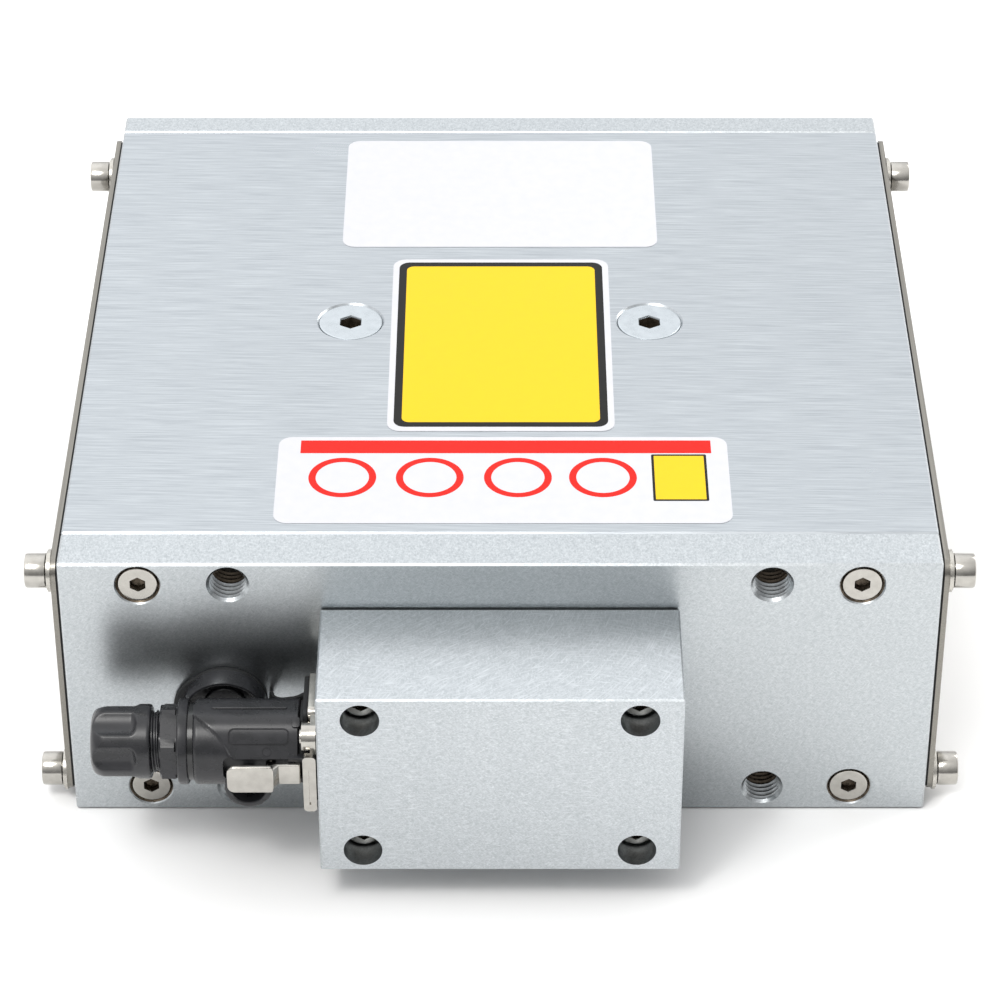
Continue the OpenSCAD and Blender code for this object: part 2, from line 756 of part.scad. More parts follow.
module plug_collar() {
    color("#26272a") difference() {
        union() {
            turned_x(collar_hex_x, [[0, 0], [11.7, 0], [12.2, 0.5], [12.2, 2.6], [11.8, 3],
                [10.2, 3], [10.2, plug_x0 + 6 - collar_hex_x], [0, plug_x0 + 6 - collar_hex_x]]);
            translate([thread_x, plug_y, plug_z]) rotate([0, 90, 0])
                cylinder(h = collar_hex_x - thread_x, r = 11.5, $fn = 6);
            rod_x(thread_x - thread_l, thread_x, plug_y, plug_z, stem_r);
            rod_x(thread_x - gland_mouth + 0.2, thread_x, plug_y, plug_z, thread_r);
        }
        rod_x(thread_x - thread_l - 1, plug_x0 + 7, plug_y, plug_z, gland_bore);
    }
}

module gland_seal() {
    start = thread_x - thread_l + 0.2;
    color("#3a3b3d") tube_x(start, start + seal_l, plug_y, plug_z, gland_bore, 4.2);
}

module gland_ring() {
    start = gland_x0 + gland_wall + turn_gap;
    color("#e0ddd2") tube_x(start, start + 4.2, plug_y, plug_z, gland_bore - turn_gap, 4.6);
}

module gland_nut() {
    scoop_r = 10.9;
    scoop_d = gland_r - 0.95 + scoop_r;
    scoop_end = gland_x1 - 7.5;
    scoop_tilt = 8;
    dome = [for (a = [0 : 10 : 90]) [cable_r + 1.4 + 4 * sin(a), 4.5 - 4.5 * cos(a)]];
    color("#2b2c2f") difference() {
        turned_x(gland_x0, concat([[cable_r, 0]], dome,
            [[gland_r, gland_l - 0.8], [gland_r - 0.6, gland_l], [cable_r, gland_l]]));
        rod_x(gland_x1 - gland_mouth, gland_x1 + 1, plug_y, plug_z, thread_r + turn_gap);
        rod_x(gland_x1 - gland_socket, gland_x1 + 1, plug_y, plug_z, stem_r + turn_gap);
        rod_x(gland_x0 + gland_wall, gland_x1, plug_y, plug_z, gland_bore);
        for (i = [0 : 5])
            translate([0, plug_y, plug_z]) rotate([60 * i + 52, 0, 0])
                translate([scoop_end, scoop_d, 0]) rotate([0, 0, scoop_tilt]) {
                    rotate([0, -90, 0]) cylinder(h = 2 * gland_l, r = scoop_r);
                    sphere(scoop_r);
                }
    }
}

// ---------------------------------------------------------------- labels

module label(x0, x1, y0, y1) {
    translate([(x0 + x1) / 2, (y0 + y1) / 2, body_h]) linear_extrude(0.15)
        round_rect(x1 - x0, y1 - y0, 4);
}

module label_rear() {
    color("white") label(-50, 50, 43, 109);
}

module label_middle() {
    color("#f5e400") label(-33.5, 34, -59.4, 35.5);
}

module label_front() {
    color("white") label(-65, 66.7, -105.5, -62.5);
}

front_pole_plate();
rear_pole_plate();
top_yoke();
base_plate();
centre_core();
coil_former();
coil_winding();
potting_resin();
coil_leads();
front_plate_screws();
rear_plate_screws();
core_screws();
side_gasket_left();
side_gasket_right();
side_cover_left();
side_cover_right();
side_flat_washers();
side_spring_washers();
side_cover_screws();
terminal_box();
terminal_box_gasket();
terminal_box_screws();
terminal_strip();
terminal_clamps();
socket_wires();
socket_gasket();
socket_flange();
flange_screws();
socket_catch();
socket_insert();
socket_pins();
dust_cap();
cap_strap();
plug_body();
plug_seal();
plug_insert();
plug_contacts();
release_lever();
lever_pin();
lever_spring();
collar_seal();
plug_collar();
gland_seal();
gland_ring();
gland_nut();
label_rear();
label_middle();
label_front();
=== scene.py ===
from math import atan2, ceil, cos, degrees, exp, hypot, log, pi, radians, sin, sqrt, tanh, tau

import bmesh
import bpy
from mathutils import Matrix, Vector


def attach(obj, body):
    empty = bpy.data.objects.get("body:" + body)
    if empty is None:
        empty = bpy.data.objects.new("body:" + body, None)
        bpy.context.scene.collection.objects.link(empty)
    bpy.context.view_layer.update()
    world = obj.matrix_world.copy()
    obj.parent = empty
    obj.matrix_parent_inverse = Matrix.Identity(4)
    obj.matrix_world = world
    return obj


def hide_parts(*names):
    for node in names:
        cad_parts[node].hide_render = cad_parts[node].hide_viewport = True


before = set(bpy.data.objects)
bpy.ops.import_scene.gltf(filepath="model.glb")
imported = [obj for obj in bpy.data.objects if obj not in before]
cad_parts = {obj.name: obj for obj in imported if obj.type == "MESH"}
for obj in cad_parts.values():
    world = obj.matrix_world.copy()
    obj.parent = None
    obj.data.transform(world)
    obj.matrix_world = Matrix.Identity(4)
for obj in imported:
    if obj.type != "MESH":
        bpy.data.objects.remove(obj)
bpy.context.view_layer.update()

# ---- Front pole plate: 15 mm of ground steel, zinc plated and blue passivated after it
# was drilled. It carries the terminal box and has four tapped M12 holes for the arm's
# bracket. It is screwed to the edges of the yoke and of the base plate.

X, Y, Z = Vector((1, 0, 0)), Vector((0, 1, 0)), Vector((0, 0, 1))
M12_X, M12_Z = 77.0, (8.2, 82.8)
M12_MINOR, M12_MAJOR, M12_MOUTH, M12_PITCH = 5.1, 5.98, 6.15, 1.75
M12_LIP, M12_TURNS, LIT_DEPTH = 0.9, 7.2, 7.5
FRONT_Y = -125.0


def linear(code):
    """Linear colour from an sRGB hex code."""
    parts = [int(code[i:i + 2], 16) / 255 for i in (1, 3, 5)]
    return [*(c / 12.92 if c <= 0.04045 else ((c + 0.055) / 1.055) ** 2.4 for c in parts), 1.0]


def node(tree, kind, sockets=None, **settings):
    """Adds a node, gives it its settings, and fills or links its input sockets."""
    made = tree.nodes.new("ShaderNode" + kind)
    for name, value in settings.items():
        setattr(made, name, value)
    for key, value in (sockets or {}).items():
        if isinstance(value, bpy.types.NodeSocket):
            tree.links.new(value, made.inputs[key])
        else:
            made.inputs[key].default_value = value
    return made


def material(name, **sockets):
    """New material, its node tree and its shader, with constants set on the shader."""
    made = bpy.data.materials.new(name)
    made.use_nodes = True
    shader = made.node_tree.nodes["Principled BSDF"]
    for key, value in sockets.items():
        shader.inputs[key.replace("_", " ")].default_value = value
    return made, made.node_tree, shader


def grain(tree, size, turn=(0, 0, 0), detail=3.0, rough=0.55):
    """Noise whose grains measure size (x, y, z) in mm, turned by turn degrees."""
    place = node(tree, "TexCoord").outputs["Object"]
    turned = node(tree, "Mapping", {"Vector": place, "Rotation": [radians(a) for a in turn]})
    fitted = node(tree, "Mapping", {"Vector": turned.outputs[0],
                                    "Scale": [1000 / s for s in size]})
    return node(tree, "TexNoise", {"Vector": fitted.outputs[0], "Scale": 1.0, "Detail": detail,
                                   "Roughness": rough}).outputs["Fac"]


def dress(tree, shader, pattern, low, high, rough, depth, ends=(0.3, 0.7), clouds=None,
          stains=None):
    """Links a finish to the shader: its colour, its roughness and a bump of depth mm.

    The colour goes from hex low to hex high between the pattern's ends. All three follow the
    pattern, unless clouds is given for the roughness or stains for the colour.
    """
    colour = node(tree, "ValToRGB", {"Fac": pattern if stains is None else stains})
    for element, position, code in zip(colour.color_ramp.elements, ends, (low, high)):
        element.position, element.color = position, linear(code)
    shine = node(tree, "MapRange", {"Value": pattern if clouds is None else clouds,
                                    "From Min": 0.3, "From Max": 0.7,
                                    "To Min": rough[0], "To Max": rough[1]})
    bump = node(tree, "Bump", {"Height": pattern, "Distance": depth / 1000})
    tree.links.new(colour.outputs["Color"], shader.inputs["Base Color"])
    tree.links.new(shine.outputs["Result"], shader.inputs["Roughness"])
    tree.links.new(bump.outputs["Normal"], shader.inputs["Normal"])


def facing(place, side, out):
    """Matrix that puts a shape's X along side and its Z along out, at place."""
    made = Matrix((side, out.cross(side), out)).transposed().to_4x4()
    made.translation = Vector(place)
    return made


def spin_profile(shape, profile, place, steps=48, closed=False, reshape=None):
    """Turns (height, radius) points about Z, lets reshape move each vertex, and places it."""
    before = set(shape.verts)
    ring = [shape.verts.new((radius, 0, height)) for height, radius in profile]
    edges = [shape.edges.new(pair) for pair in zip(ring, ring[1:] + ring[:1] * closed)]
    bmesh.ops.spin(shape, geom=ring + edges, cent=(0, 0, 0), axis=(0, 0, 1), dvec=(0, 0, 0),
                   angle=tau, steps=steps, use_merge=True)
    made = [v for v in shape.verts if v not in before]
    if reshape:
        for v in made:
            v.co = reshape(v.co)
    bmesh.ops.transform(shape, matrix=place, verts=made)
    return made


def thread(shape, place, start, turns, pitch, ridge, steps=32):
    """Helical ridge of a closed (height, radius) section, from start along the shape's Z."""
    before = set(shape.verts)
    ring = [shape.verts.new((radius, 0, start + height)) for height, radius in ridge]
    section = shape.faces.new(ring)
    bmesh.ops.spin(shape, geom=[section], cent=(0, 0, 0), axis=(0, 0, 1),
                   dvec=(0, 0, pitch / steps), angle=tau * turns, steps=ceil(steps * turns),
                   use_merge=False)
    bmesh.ops.transform(shape, matrix=place, verts=[v for v in shape.verts if v not in before])


def cad_copy(name):
    """The CAD node's mesh in mm, with the corners of its loose triangles joined."""
    shape = bmesh.new()
    shape.from_mesh(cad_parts[name].data)
    bmesh.ops.remove_doubles(shape, verts=shape.verts, dist=1e-6)
    bmesh.ops.scale(shape, vec=(1000, 1000, 1000), verts=shape.verts)
    return shape


def fit_piece(name, shape, body, materials, slot, *stands_for, sharp=32):
    """Makes a piece of a shape in mm: closed, faces outwards, smooth but for its sharp edges."""
    bmesh.ops.remove_doubles(shape, verts=shape.verts, dist=1e-4)
    bmesh.ops.recalc_face_normals(shape, faces=shape.faces)
    bmesh.ops.scale(shape, vec=(0.001, 0.001, 0.001), verts=shape.verts)
    for face in shape.faces:
        face.smooth = True
    for edge in shape.edges:
        edge.smooth = len(edge.link_faces) == 2 and edge.calc_face_angle(0) < radians(sharp)
    mesh = bpy.data.meshes.new(name)
    shape.to_mesh(mesh)
    shape.free()
    for made in materials:
        mesh.materials.append(made)
    piece = bpy.data.objects.new(name, mesh)
    bpy.context.scene.collection.objects.link(piece)
    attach(piece, body)
    if stands_for:
        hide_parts(*stands_for)


# Ground steel, zinc plated: a cool grey satin full of fine short marks that lie every way,
# about a millimetre long. They are drawn 0.4 mm wide, coarser than they are, so they show.
zinc_plated_ground_steel, tree, shader = material("zinc_plated_ground_steel", Metallic=1.0)
fibres = grain(tree, (1.7, 1.0, 0.4), (0, 14, 0), 4.0, 0.65)
for angle in (-40, 62):
    more = grain(tree, (1.7, 1.0, 0.4), (0, angle, 0), 4.0, 0.65)
    fibres = node(tree, "Math", {0: fibres, 1: more}, operation="MAXIMUM").outputs[0]
clouds = grain(tree, (34, 34, 26), (0, 0, 0), 4.0)
dress(tree, shader, fibres, "#a1a6a9", "#d0d4d6", (0.27, 0.35), 0.025,
      ends=(0.42, 0.78), clouds=clouds)

# The same steel bare inside the bores, which were cut again after plating: brown black from
# cutting oil, with the gloss of a wet film. It is also painted shade: it darkens the bores'
# walls, the screws' sockets and the gaps round their heads, where shade falls.
oiled_steel_and_painted_shade, tree, shader = material("oiled_steel_and_painted_shade", Metallic=0.8)
film = grain(tree, (2, 2, 2))
dress(tree, shader, film, "#41392f", "#6a6054", (0.2, 0.34), 0.01)

PLATE_SCREW_X, PLATE_SCREW_Z, PLATE_LIP, PLATE_SINK_REACH = 102.5, (8.5, 82.5), 0.35, 6.8


def oil_and_shade_bores(shape, bores, reach, face_y, lip):
    """Puts the second material on the walls of bores along Y, from lip mm below the face: oil and
    painted shade.
    """
    def inside(face):
        return any(all(hypot(v.co.x - x, v.co.z - z) < reach for v in face.verts)
                   for x, z in bores)

    depth = face_y - lip if face_y > 0 else face_y + lip
    walls = [f for f in shape.faces if inside(f)]
    parts = {part for f in walls for part in (*f.verts, *f.edges)}
    bmesh.ops.bisect_plane(shape, geom=[*walls, *parts], plane_co=(0, depth, 0),
                           plane_no=(0, 1, 0))
    for face in shape.faces:
        # Painted shade: the walls below the lip are made dark, as shade falls in the bore
        if abs(face.calc_center_median().y) < abs(depth) and inside(face):
            face.material_index = 1


m12_bores = [(x, z) for x in (-M12_X, M12_X) for z in M12_Z]
plate_screws = [(x, z) for x in (-PLATE_SCREW_X, PLATE_SCREW_X) for z in PLATE_SCREW_Z]
shape = cad_copy("front_pole_plate")
# The drilled walls go out to the thread's root, and the chamfers to the mouth
for v in shape.verts:
    for x, z in m12_bores:
        away = Vector((v.co.x - x, 0, v.co.z - z))
        if away.length < M12_MINOR + 0.03:
            v.co += away * (M12_MAJOR / away.length - 1)
        elif away.length < M12_MOUTH - 0.05:
            v.co += away * (M12_MOUTH / away.length - 1)
# Painted shade, with the oil, on the bores' walls and in the countersinks
oil_and_shade_bores(shape, m12_bores, M12_MOUTH + 0.1, FRONT_Y, M12_LIP)
oil_and_shade_bores(shape, plate_screws, PLATE_SINK_REACH, FRONT_Y, PLATE_LIP)
plain = set(shape.faces)
lip = [(0, M12_MOUTH), (0.8, M12_MOUTH - 0.8), (0.95, M12_MOUTH - 0.75), (1.0, M12_MOUTH)]
root, crest = M12_MAJOR + 0.03, M12_MINOR + 0.1
ridge = [(0.3, root), (0.78, crest), (0.98, crest), (1.46, root)]
for x, z in m12_bores:
    bore = facing((x, FRONT_Y, z), X, Y)
    spin_profile(shape, lip, bore, 48, closed=True)
    thread(shape, bore, M12_LIP, M12_TURNS, M12_PITCH, ridge)
# The plated turns near the mouth shine; the ones farther in get the dark oiled steel, painted
# shade deep in the bore
for face in set(shape.faces) - plain:
    if face.calc_center_median().y > FRONT_Y + LIT_DEPTH:
        face.material_index = 1
fit_piece("front_plate", shape, "magnet", [zinc_plated_ground_steel, oiled_steel_and_painted_shade],
          "zinc_steel", "front_pole_plate")


def coat(finish, *nodes):
    """Gives CAD nodes a finish in place of the flat one that they come with."""
    for name in nodes:
        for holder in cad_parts[name].material_slots:
            holder.material = finish


# ---- Rear pole plate and top yoke: the rest of the magnet's iron. The plate is the same
# ground steel as the front one; the yoke is a thick slab that was brushed from side to
# side before plating, so it shines in long streaks across the magnet.

REAR_Y = 125.0
shape = cad_copy("rear_pole_plate")
oil_and_shade_bores(shape, plate_screws, PLATE_SINK_REACH, REAR_Y, PLATE_LIP)
fit_piece("rear_plate", shape, "magnet", [zinc_plated_ground_steel, oiled_steel_and_painted_shade],
          "zinc_steel", "rear_pole_plate")

# Brushed steel, zinc plated: bluer and darker than the plates, with hair-fine streaks that
# run along X. They are drawn 0.5 mm apart, coarser than they are, so they show.
zinc_plated_brushed_steel, tree, shader = material("zinc_plated_brushed_steel", Metallic=1.0,
                                                   Anisotropic=0.35)
streaks = grain(tree, (22, 0.5, 0.5), (0, 0, 1.5), 5.0, 0.7)
clouds = grain(tree, (90, 50, 50), (0, 0, 12), 3.0)
dress(tree, shader, streaks, "#9a9fa4", "#c3c8cb", (0.26, 0.36), 0.012,
      ends=(0.3, 0.75), clouds=clouds)
coat(zinc_plated_brushed_steel, "top_yoke")

# ---- Base plate and centre core: the working face, with the core as one pole and the edges
# of the plates as the other. The stainless plate keeps the two apart, because it doesn't
# carry the field, and the whole face was ground flat in one go.

# Ground stainless steel: warm light grey, with straight grinding lines along Y. They are
# drawn 0.3 mm apart, coarser than they are, so they show.
ground_stainless, tree, shader = material("ground_stainless", Metallic=1.0)
lines = grain(tree, (0.3, 45, 0.3))
dress(tree, shader, lines, "#aeb0af", "#c3c4c2", (0.30, 0.42), 0.006)
coat(ground_stainless, "base_plate")

# Ground mild steel, oiled: darker and bluer than the stainless plate, the same lines.
ground_mild_steel, tree, shader = material("ground_mild_steel", Metallic=1.0)
lines = grain(tree, (0.3, 45, 0.3))
stains = grain(tree, (14, 14, 14), (0, 0, 0), 4.0)
dress(tree, shader, lines, "#8d9296", "#a8adb0", (0.26, 0.38), 0.006, stains=stains)
coat(ground_mild_steel, "centre_core")

# ---- Coil: enamelled copper wire wound on a moulded former round the core, sealed in with
# poured resin. Two leads run out through the front plate into the terminal box.

# Enamelled copper wire in layers: warm orange brown, glossy, one ridge for each turn. The
# wire is drawn 1.2 mm thick.
enamelled_copper, tree, shader = material("enamelled_copper", Metallic=1.0, Coat_Weight=0.6,
                                          Coat_Roughness=0.15)
turns = grain(tree, (80, 80, 1.2), (0, 0, 0), 0.0)
dress(tree, shader, turns, "#8a4a24", "#c07a45", (0.24, 0.38), 0.3)
coat(enamelled_copper, "coil_winding")

# Glass filled polyamide, moulded: green grey and matt, with short fibres near its skin.
moulded_polyamide, tree, shader = material("moulded_polyamide")
flecks = grain(tree, (1.2, 0.2, 0.2), (20, 30, 40), 3.0)
dress(tree, shader, flecks, "#36423a", "#465349", (0.45, 0.6), 0.01)
coat(moulded_polyamide, "coil_former")

# Epoxy resin, poured and cured: brown, glossy, slightly see-through, with cloudy filler.
poured_epoxy, tree, shader = material("poured_epoxy", Subsurface_Weight=0.08,
                                      Subsurface_Scale=0.002)
clouds = grain(tree, (9, 9, 9), (0, 0, 0), 5.0)
dress(tree, shader, clouds, "#43291b", "#6a4a36", (0.18, 0.3), 0.05)
coat(poured_epoxy, "potting_resin")


def sleeve(name, low, high):
    """Silicone or PVC, extruded or moulded: soft sheen, faint ripples along its length."""
    made, tree, shader = material(name, Specular_IOR_Level=0.4)
    ripples = grain(tree, (3, 0.5, 3), (0, 0, 0), 2.0)
    dress(tree, shader, ripples, low, high, (0.38, 0.5), 0.02)
    return made


coat(sleeve("red_silicone_sleeve", "#9c2a22", "#b8382c"), "coil_leads")
coat(sleeve("blue_pvc_insulation", "#23458c", "#3158a8"), "socket_wires")

# ---- Countersunk screws: M6 hexagon socket screws hold both pole plates to the edges of the
# yoke and base plate, and two M10 ones hold the core under the yoke. Cold headed steel,
# nickel plated (M6) or zinc plated (M10), their faces a little below the plates'.


def socket_screw(shape, place, outline, flats, depth, mouth=0.3, shade_from=99):
    """Turned screw: a hexagon socket, then the outline from its mouth to the screw's end.

    The second material goes in the socket, and on the flank beyond the radius given last:
    painted shade in the socket and in the gap round the head, with some oil.
    """
    corner = flats / sqrt(3)
    top = outline[0][0]

    def hexagon(co):
        reach = hypot(co.x, co.y)
        if not 0 < reach < corner + mouth or co.z < top - depth - 1e-3:
            return co
        angle = (degrees(atan2(co.y, co.x)) + 360) % 60 - 30
        factor = cos(pi / 6) / cos(radians(30 - abs(angle)))
        return Vector((co.x * factor, co.y * factor, co.z))

    rim = corner + mouth * 0.7
    profile = [(top - depth - 0.5, 0), (top - depth, corner), (top - mouth, corner), (top, rim),
               (top, rim + mouth), *outline]
    made = spin_profile(shape, profile, place, 48, reshape=hexagon)
    back = place.inverted()
    for face in {face for v in made for face in v.link_faces}:
        centre = back @ face.calc_center_median()
        away = hypot(centre.x, centre.y)
        # Painted shade: the socket and the flank in the gap round the head are made dark
        if top - depth - 0.5 < centre.z < top - mouth * 0.7 and (away < corner or away > shade_from):
            face.material_index = 1


def countersunk(radius, head, length):
    """Outline of a countersunk screw below a face at 0, its rim rounded."""
    return [(0, head - 0.5), (0, head - 0.35), (-0.1, head - 0.1), (-0.3, head),
            (-0.45, head - 0.05), (-0.45 - head + radius, radius), (-length + 0.6, radius),
            (-length, radius - 0.6), (-length, 0)]


# Nickel plated steel: warm and light, smooth, with a faint orange peel from the plating.
nickel_plated_steel, tree, shader = material("nickel_plated_steel", Metallic=1.0)
peel = grain(tree, (2.5, 2.5, 2.5))
dress(tree, shader, peel, "#aaa7a1", "#b7b4ae", (0.14, 0.22), 0.003)

PLATE_SCREW_SINK, M6_HEAD, M6_HEX, M6_HEX_DEPTH, RIM = 0.4, 5.6, 4, 2.4, 0.4
for name, y, out, length in (("front_plate_screws", FRONT_Y, -1, 30),
                             ("rear_plate_screws", REAR_Y, 1, 25)):
    shape = bmesh.new()
    for x, z in plate_screws:
        place = facing((x, y - out * PLATE_SCREW_SINK, z), -X * out, Y * out)
        socket_screw(shape, place, countersunk(3, M6_HEAD, length), M6_HEX, M6_HEX_DEPTH, 0.35,
                     M6_HEAD - RIM)
    fit_piece(name.replace("screws", "m6_screws"), shape, "magnet",
              [nickel_plated_steel, oiled_steel_and_painted_shade], "zinc_screw", name)

# Zinc plated screws: the same cool grey as the yoke, but smoother and even.
zinc_plated_screw, tree, shader = material("zinc_plated_screw", Metallic=1.0)
peel = grain(tree, (3, 3, 3))
dress(tree, shader, peel, "#b4babe", "#bfc5c9", (0.24, 0.34), 0.006)

CORE_SCREW_X, CORE_SCREW_TOP, M10_HEAD, M10_HEX, M10_HEX_DEPTH = 46, 89.8, 9.75, 6, 4
shape = bmesh.new()
for x in (-CORE_SCREW_X, CORE_SCREW_X):
    place = facing((x, 0, CORE_SCREW_TOP), X, Z)
    socket_screw(shape, place, countersunk(5, M10_HEAD, 45), M10_HEX, M10_HEX_DEPTH, 0.5,
                 M10_HEAD - RIM)
fit_piece("core_m10_screws", shape, "magnet", [zinc_plated_screw, oiled_steel_and_painted_shade], "zinc_screw",
          "core_screws")

# ---- Side covers: a thin stainless sheet with round corners on each side, over a black
# rubber gasket, held by four M6 cap screws with a spring and a flat washer each.

# Black rubber: dull, nearly neutral black, a fine pebble from its mould.
black_rubber, tree, shader = material("black_rubber", Specular_IOR_Level=0.35)
pebbles = grain(tree, (0.5, 0.5, 0.5))
dress(tree, shader, pebbles, "#161718", "#242526", (0.55, 0.75), 0.02)
coat(black_rubber, "side_gasket_left", "side_gasket_right", "terminal_box_gasket",
     "socket_gasket")

# Rolled stainless sheet, laser cut: brownish grey, with long rolling lines along Y. They are
# drawn 0.4 mm apart, coarser than they are, so they show.
rolled_stainless, tree, shader = material("rolled_stainless", Metallic=1.0, Anisotropic=0.3)
lines = grain(tree, (0.4, 70, 0.25))
dress(tree, shader, lines, "#7d7a74", "#918e87", (0.28, 0.4), 0.006)
coat(rolled_stainless, "side_cover_left", "side_cover_right")

# Stainless washers: plain punched rings, satin from tumbling.
tumbled_stainless, tree, shader = material("tumbled_stainless", Metallic=1.0)
dents = grain(tree, (0.7, 0.7, 0.7), (0, 0, 0), 4.0)
dress(tree, shader, dents, "#b3b0a9", "#c2bfb8", (0.2, 0.33), 0.006)
coat(tumbled_stainless, "side_flat_washers", "side_spring_washers")


def cap_head(radius, head, height, length):
    """Outline of a socket cap screw standing on 0, its head's edges rounded."""
    return [(height, head - 1.1), (height, head - 0.9), (height - 0.07, head - 0.45),
            (height - 0.3, head - 0.12), (height - 0.75, head), (0.25, head),
            (0.06, head - 0.08), (0, head - 0.3), (0, radius), (-length + 0.6, radius),
            (-length, radius - 0.6), (-length, 0)]


M6_CAP, CAP_HEX, CAP_HEX_DEPTH = (3, 5, 6), 5, 3
SIDE_HEAD_X, SIDE_SCREW_Y, SIDE_SCREW_Z = 129.1, (-116.5, 100.5), (8.5, 81.5)
shape = bmesh.new()
for side in (-1, 1):
    for y in SIDE_SCREW_Y:
        for z in SIDE_SCREW_Z:
            place = facing((side * SIDE_HEAD_X, y, z), Y * side, X * side)
            socket_screw(shape, place, cap_head(*M6_CAP, 16), CAP_HEX, CAP_HEX_DEPTH)
fit_piece("side_cover_m6_screws", shape, "magnet", [nickel_plated_steel, oiled_steel_and_painted_shade],
          "stainless_screw", "side_cover_screws")

# ---- Terminal box: a milled steel block, zinc plated, on the front plate over a rubber
# gasket. Four M6 cap screws sit deep in its counterbores. The coil's leads meet the
# socket's wires inside it.

# Milled steel, zinc plated: the brightest of the steels. A face cutter left its top full of
# fine crossing arcs; its sides are evenly frosted. The marks are drawn 0.4 mm wide, coarser
# than they are, so they show.
zinc_plated_milled_steel, tree, shader = material("zinc_plated_milled_steel", Metallic=1.0)
place = node(tree, "TexCoord").outputs["Object"]
# The arcs run about two centres; a mark's length is taken SWEEP mm from its centre
MARK, MARK_LENGTH, SWEEP = 0.42, 5.0, 45.0
marks = []
for centre in ((22, -196, 0), (-34, -112, 0)):
    away = node(tree, "VectorMath", {0: place, 1: [c / 1000 for c in centre]},
                operation="SUBTRACT").outputs[0]
    away = node(tree, "SeparateXYZ", {0: away}).outputs
    level = node(tree, "CombineXYZ", {0: away[0], 1: away[1]}).outputs[0]
    radius = node(tree, "VectorMath", {0: level}, operation="LENGTH").outputs["Value"]
    turn = node(tree, "Math", {0: away[1], 1: away[0]}, operation="ARCTAN2").outputs[0]
    polar = node(tree, "CombineXYZ", {0: radius, 1: turn, 2: away[2]}).outputs[0]
    fitted = node(tree, "VectorMath", {0: polar, 1: [1000 / MARK, SWEEP / MARK_LENGTH,
                                                     1000 / MARK]}, operation="MULTIPLY")
    marks.append(node(tree, "TexNoise", {"Vector": fitted.outputs[0], "Scale": 1.0,
                                         "Detail": 3.0}).outputs["Fac"])
marks += [grain(tree, (1.8, 1.2, 0.4), (0, angle, 0), 4.0, 0.65) for angle in (-52, 35)]
both = marks[0]
for more in marks[1:]:
    both = node(tree, "Math", {0: both, 1: more}, operation="MAXIMUM").outputs[0]
clouds = grain(tree, (16, 12, 12), (0, 0, 25), 4.0)
dress(tree, shader, both, "#aaafb2", "#d4d8db", (0.33, 0.41), 0.025,
      ends=(0.48, 0.8), clouds=clouds)
coat(zinc_plated_milled_steel, "terminal_box")

BOX_FRONT_Y, BOX_BORE, BOX_SCREW_X, BOX_SCREW_Z = -167.0, 14, 38.8, (20.3, 67.4)
shape = bmesh.new()
for x in (-BOX_SCREW_X, BOX_SCREW_X):
    for z in BOX_SCREW_Z:
        place = facing((x, BOX_FRONT_Y + BOX_BORE, z), X, -Y)
        socket_screw(shape, place, cap_head(*M6_CAP, 40), CAP_HEX, CAP_HEX_DEPTH)
fit_piece("terminal_box_m6_screws", shape, "magnet", [nickel_plated_steel, oiled_steel_and_painted_shade],
          "zinc_screw", "terminal_box_screws")

# Steatite terminal strip, pressed and fired: off white, matt, faintly speckled.
fired_steatite, tree, shader = material("fired_steatite")
specks = grain(tree, (0.6, 0.6, 0.6), (0, 0, 0), 2.0)
dress(tree, shader, specks, "#d6d1c3", "#ece8dd", (0.4, 0.55), 0.02)
coat(fired_steatite, "terminal_strip")

# Turned brass: yellow and bright, with the lathe's rings. They are drawn 0.3 mm apart,
# coarser than they are, so they show.
turned_brass, tree, shader = material("turned_brass", Metallic=1.0)
rings = grain(tree, (0.3, 4, 0.3), (0, 0, 0), 2.0)
dress(tree, shader, rings, "#b98f3c", "#d8b45f", (0.18, 0.3), 0.01)
coat(turned_brass, "terminal_clamps", "plug_contacts", "socket_pins")

# ---- Socket: a nickel plated flange on the box's left wall, held by four small screws, with
# a latch plate on its front edge and a black insert that holds the three pins.

coat(nickel_plated_steel, "flange_screws")

# Black polyamide with glass fibre, injection moulded: a very dark grey with the soft sheen
# and faint grain of a spark eroded mould. The grain is drawn 0.24 mm wide, coarser than it
# is, so it shows.
moulded_black_polyamide, tree, shader = material("moulded_black_polyamide",
                                                 Specular_IOR_Level=0.42)
spark = grain(tree, (0.24, 0.24, 0.24), (0, 0, 0), 2.0)
flow = grain(tree, (7, 5, 5), (0, 0, 20), 4.0)
dress(tree, shader, spark, "#1e1f21", "#2b2b2e", (0.24, 0.32), 0.012, clouds=flow, stains=flow)
coat(moulded_black_polyamide, "socket_insert", "plug_insert")

# The latch plate is steel in front, and black polyamide from LATCH_BACK_Y back
LATCH_BACK_Y = -160.75
shape = cad_copy("socket_catch")
for face in shape.faces:
    if face.calc_center_median().y > LATCH_BACK_Y:
        face.material_index = 1
fit_piece("socket_latch_plate", shape, "magnet", [nickel_plated_steel, moulded_black_polyamide],
          "nickel", "socket_catch")

# The flange's casting, with the thick plate behind the plug that stands proud of the gasket,
# round the plug's axis
PLUG_Y, PLUG_Z = -147.5, 44.2
PLATE_BACK_X, PLATE_THICK, PLATE_FRONT, PLATE_SIZE, NECK_R = -51.6, 2.5, 4.5, 29.0, 8.85


def join_shapes(shape, other, operation):
    """The solid left when other is added to the shape or cut out of it."""
    holders = []
    for solid in (shape, other):
        mesh = bpy.data.meshes.new("part_of_solid")
        bmesh.ops.recalc_face_normals(solid, faces=solid.faces)
        solid.to_mesh(mesh)
        solid.free()
        holders.append(bpy.data.objects.new("part_of_solid", mesh))
        bpy.context.scene.collection.objects.link(holders[-1])
    change = holders[0].modifiers.new("change", "BOOLEAN")
    change.object, change.operation, change.solver = holders[1], operation, "EXACT"
    whole = holders[0].evaluated_get(bpy.context.evaluated_depsgraph_get())
    result = bmesh.new()
    result.from_mesh(whole.data)
    for holder in holders:
        bpy.data.objects.remove(holder)
    return result


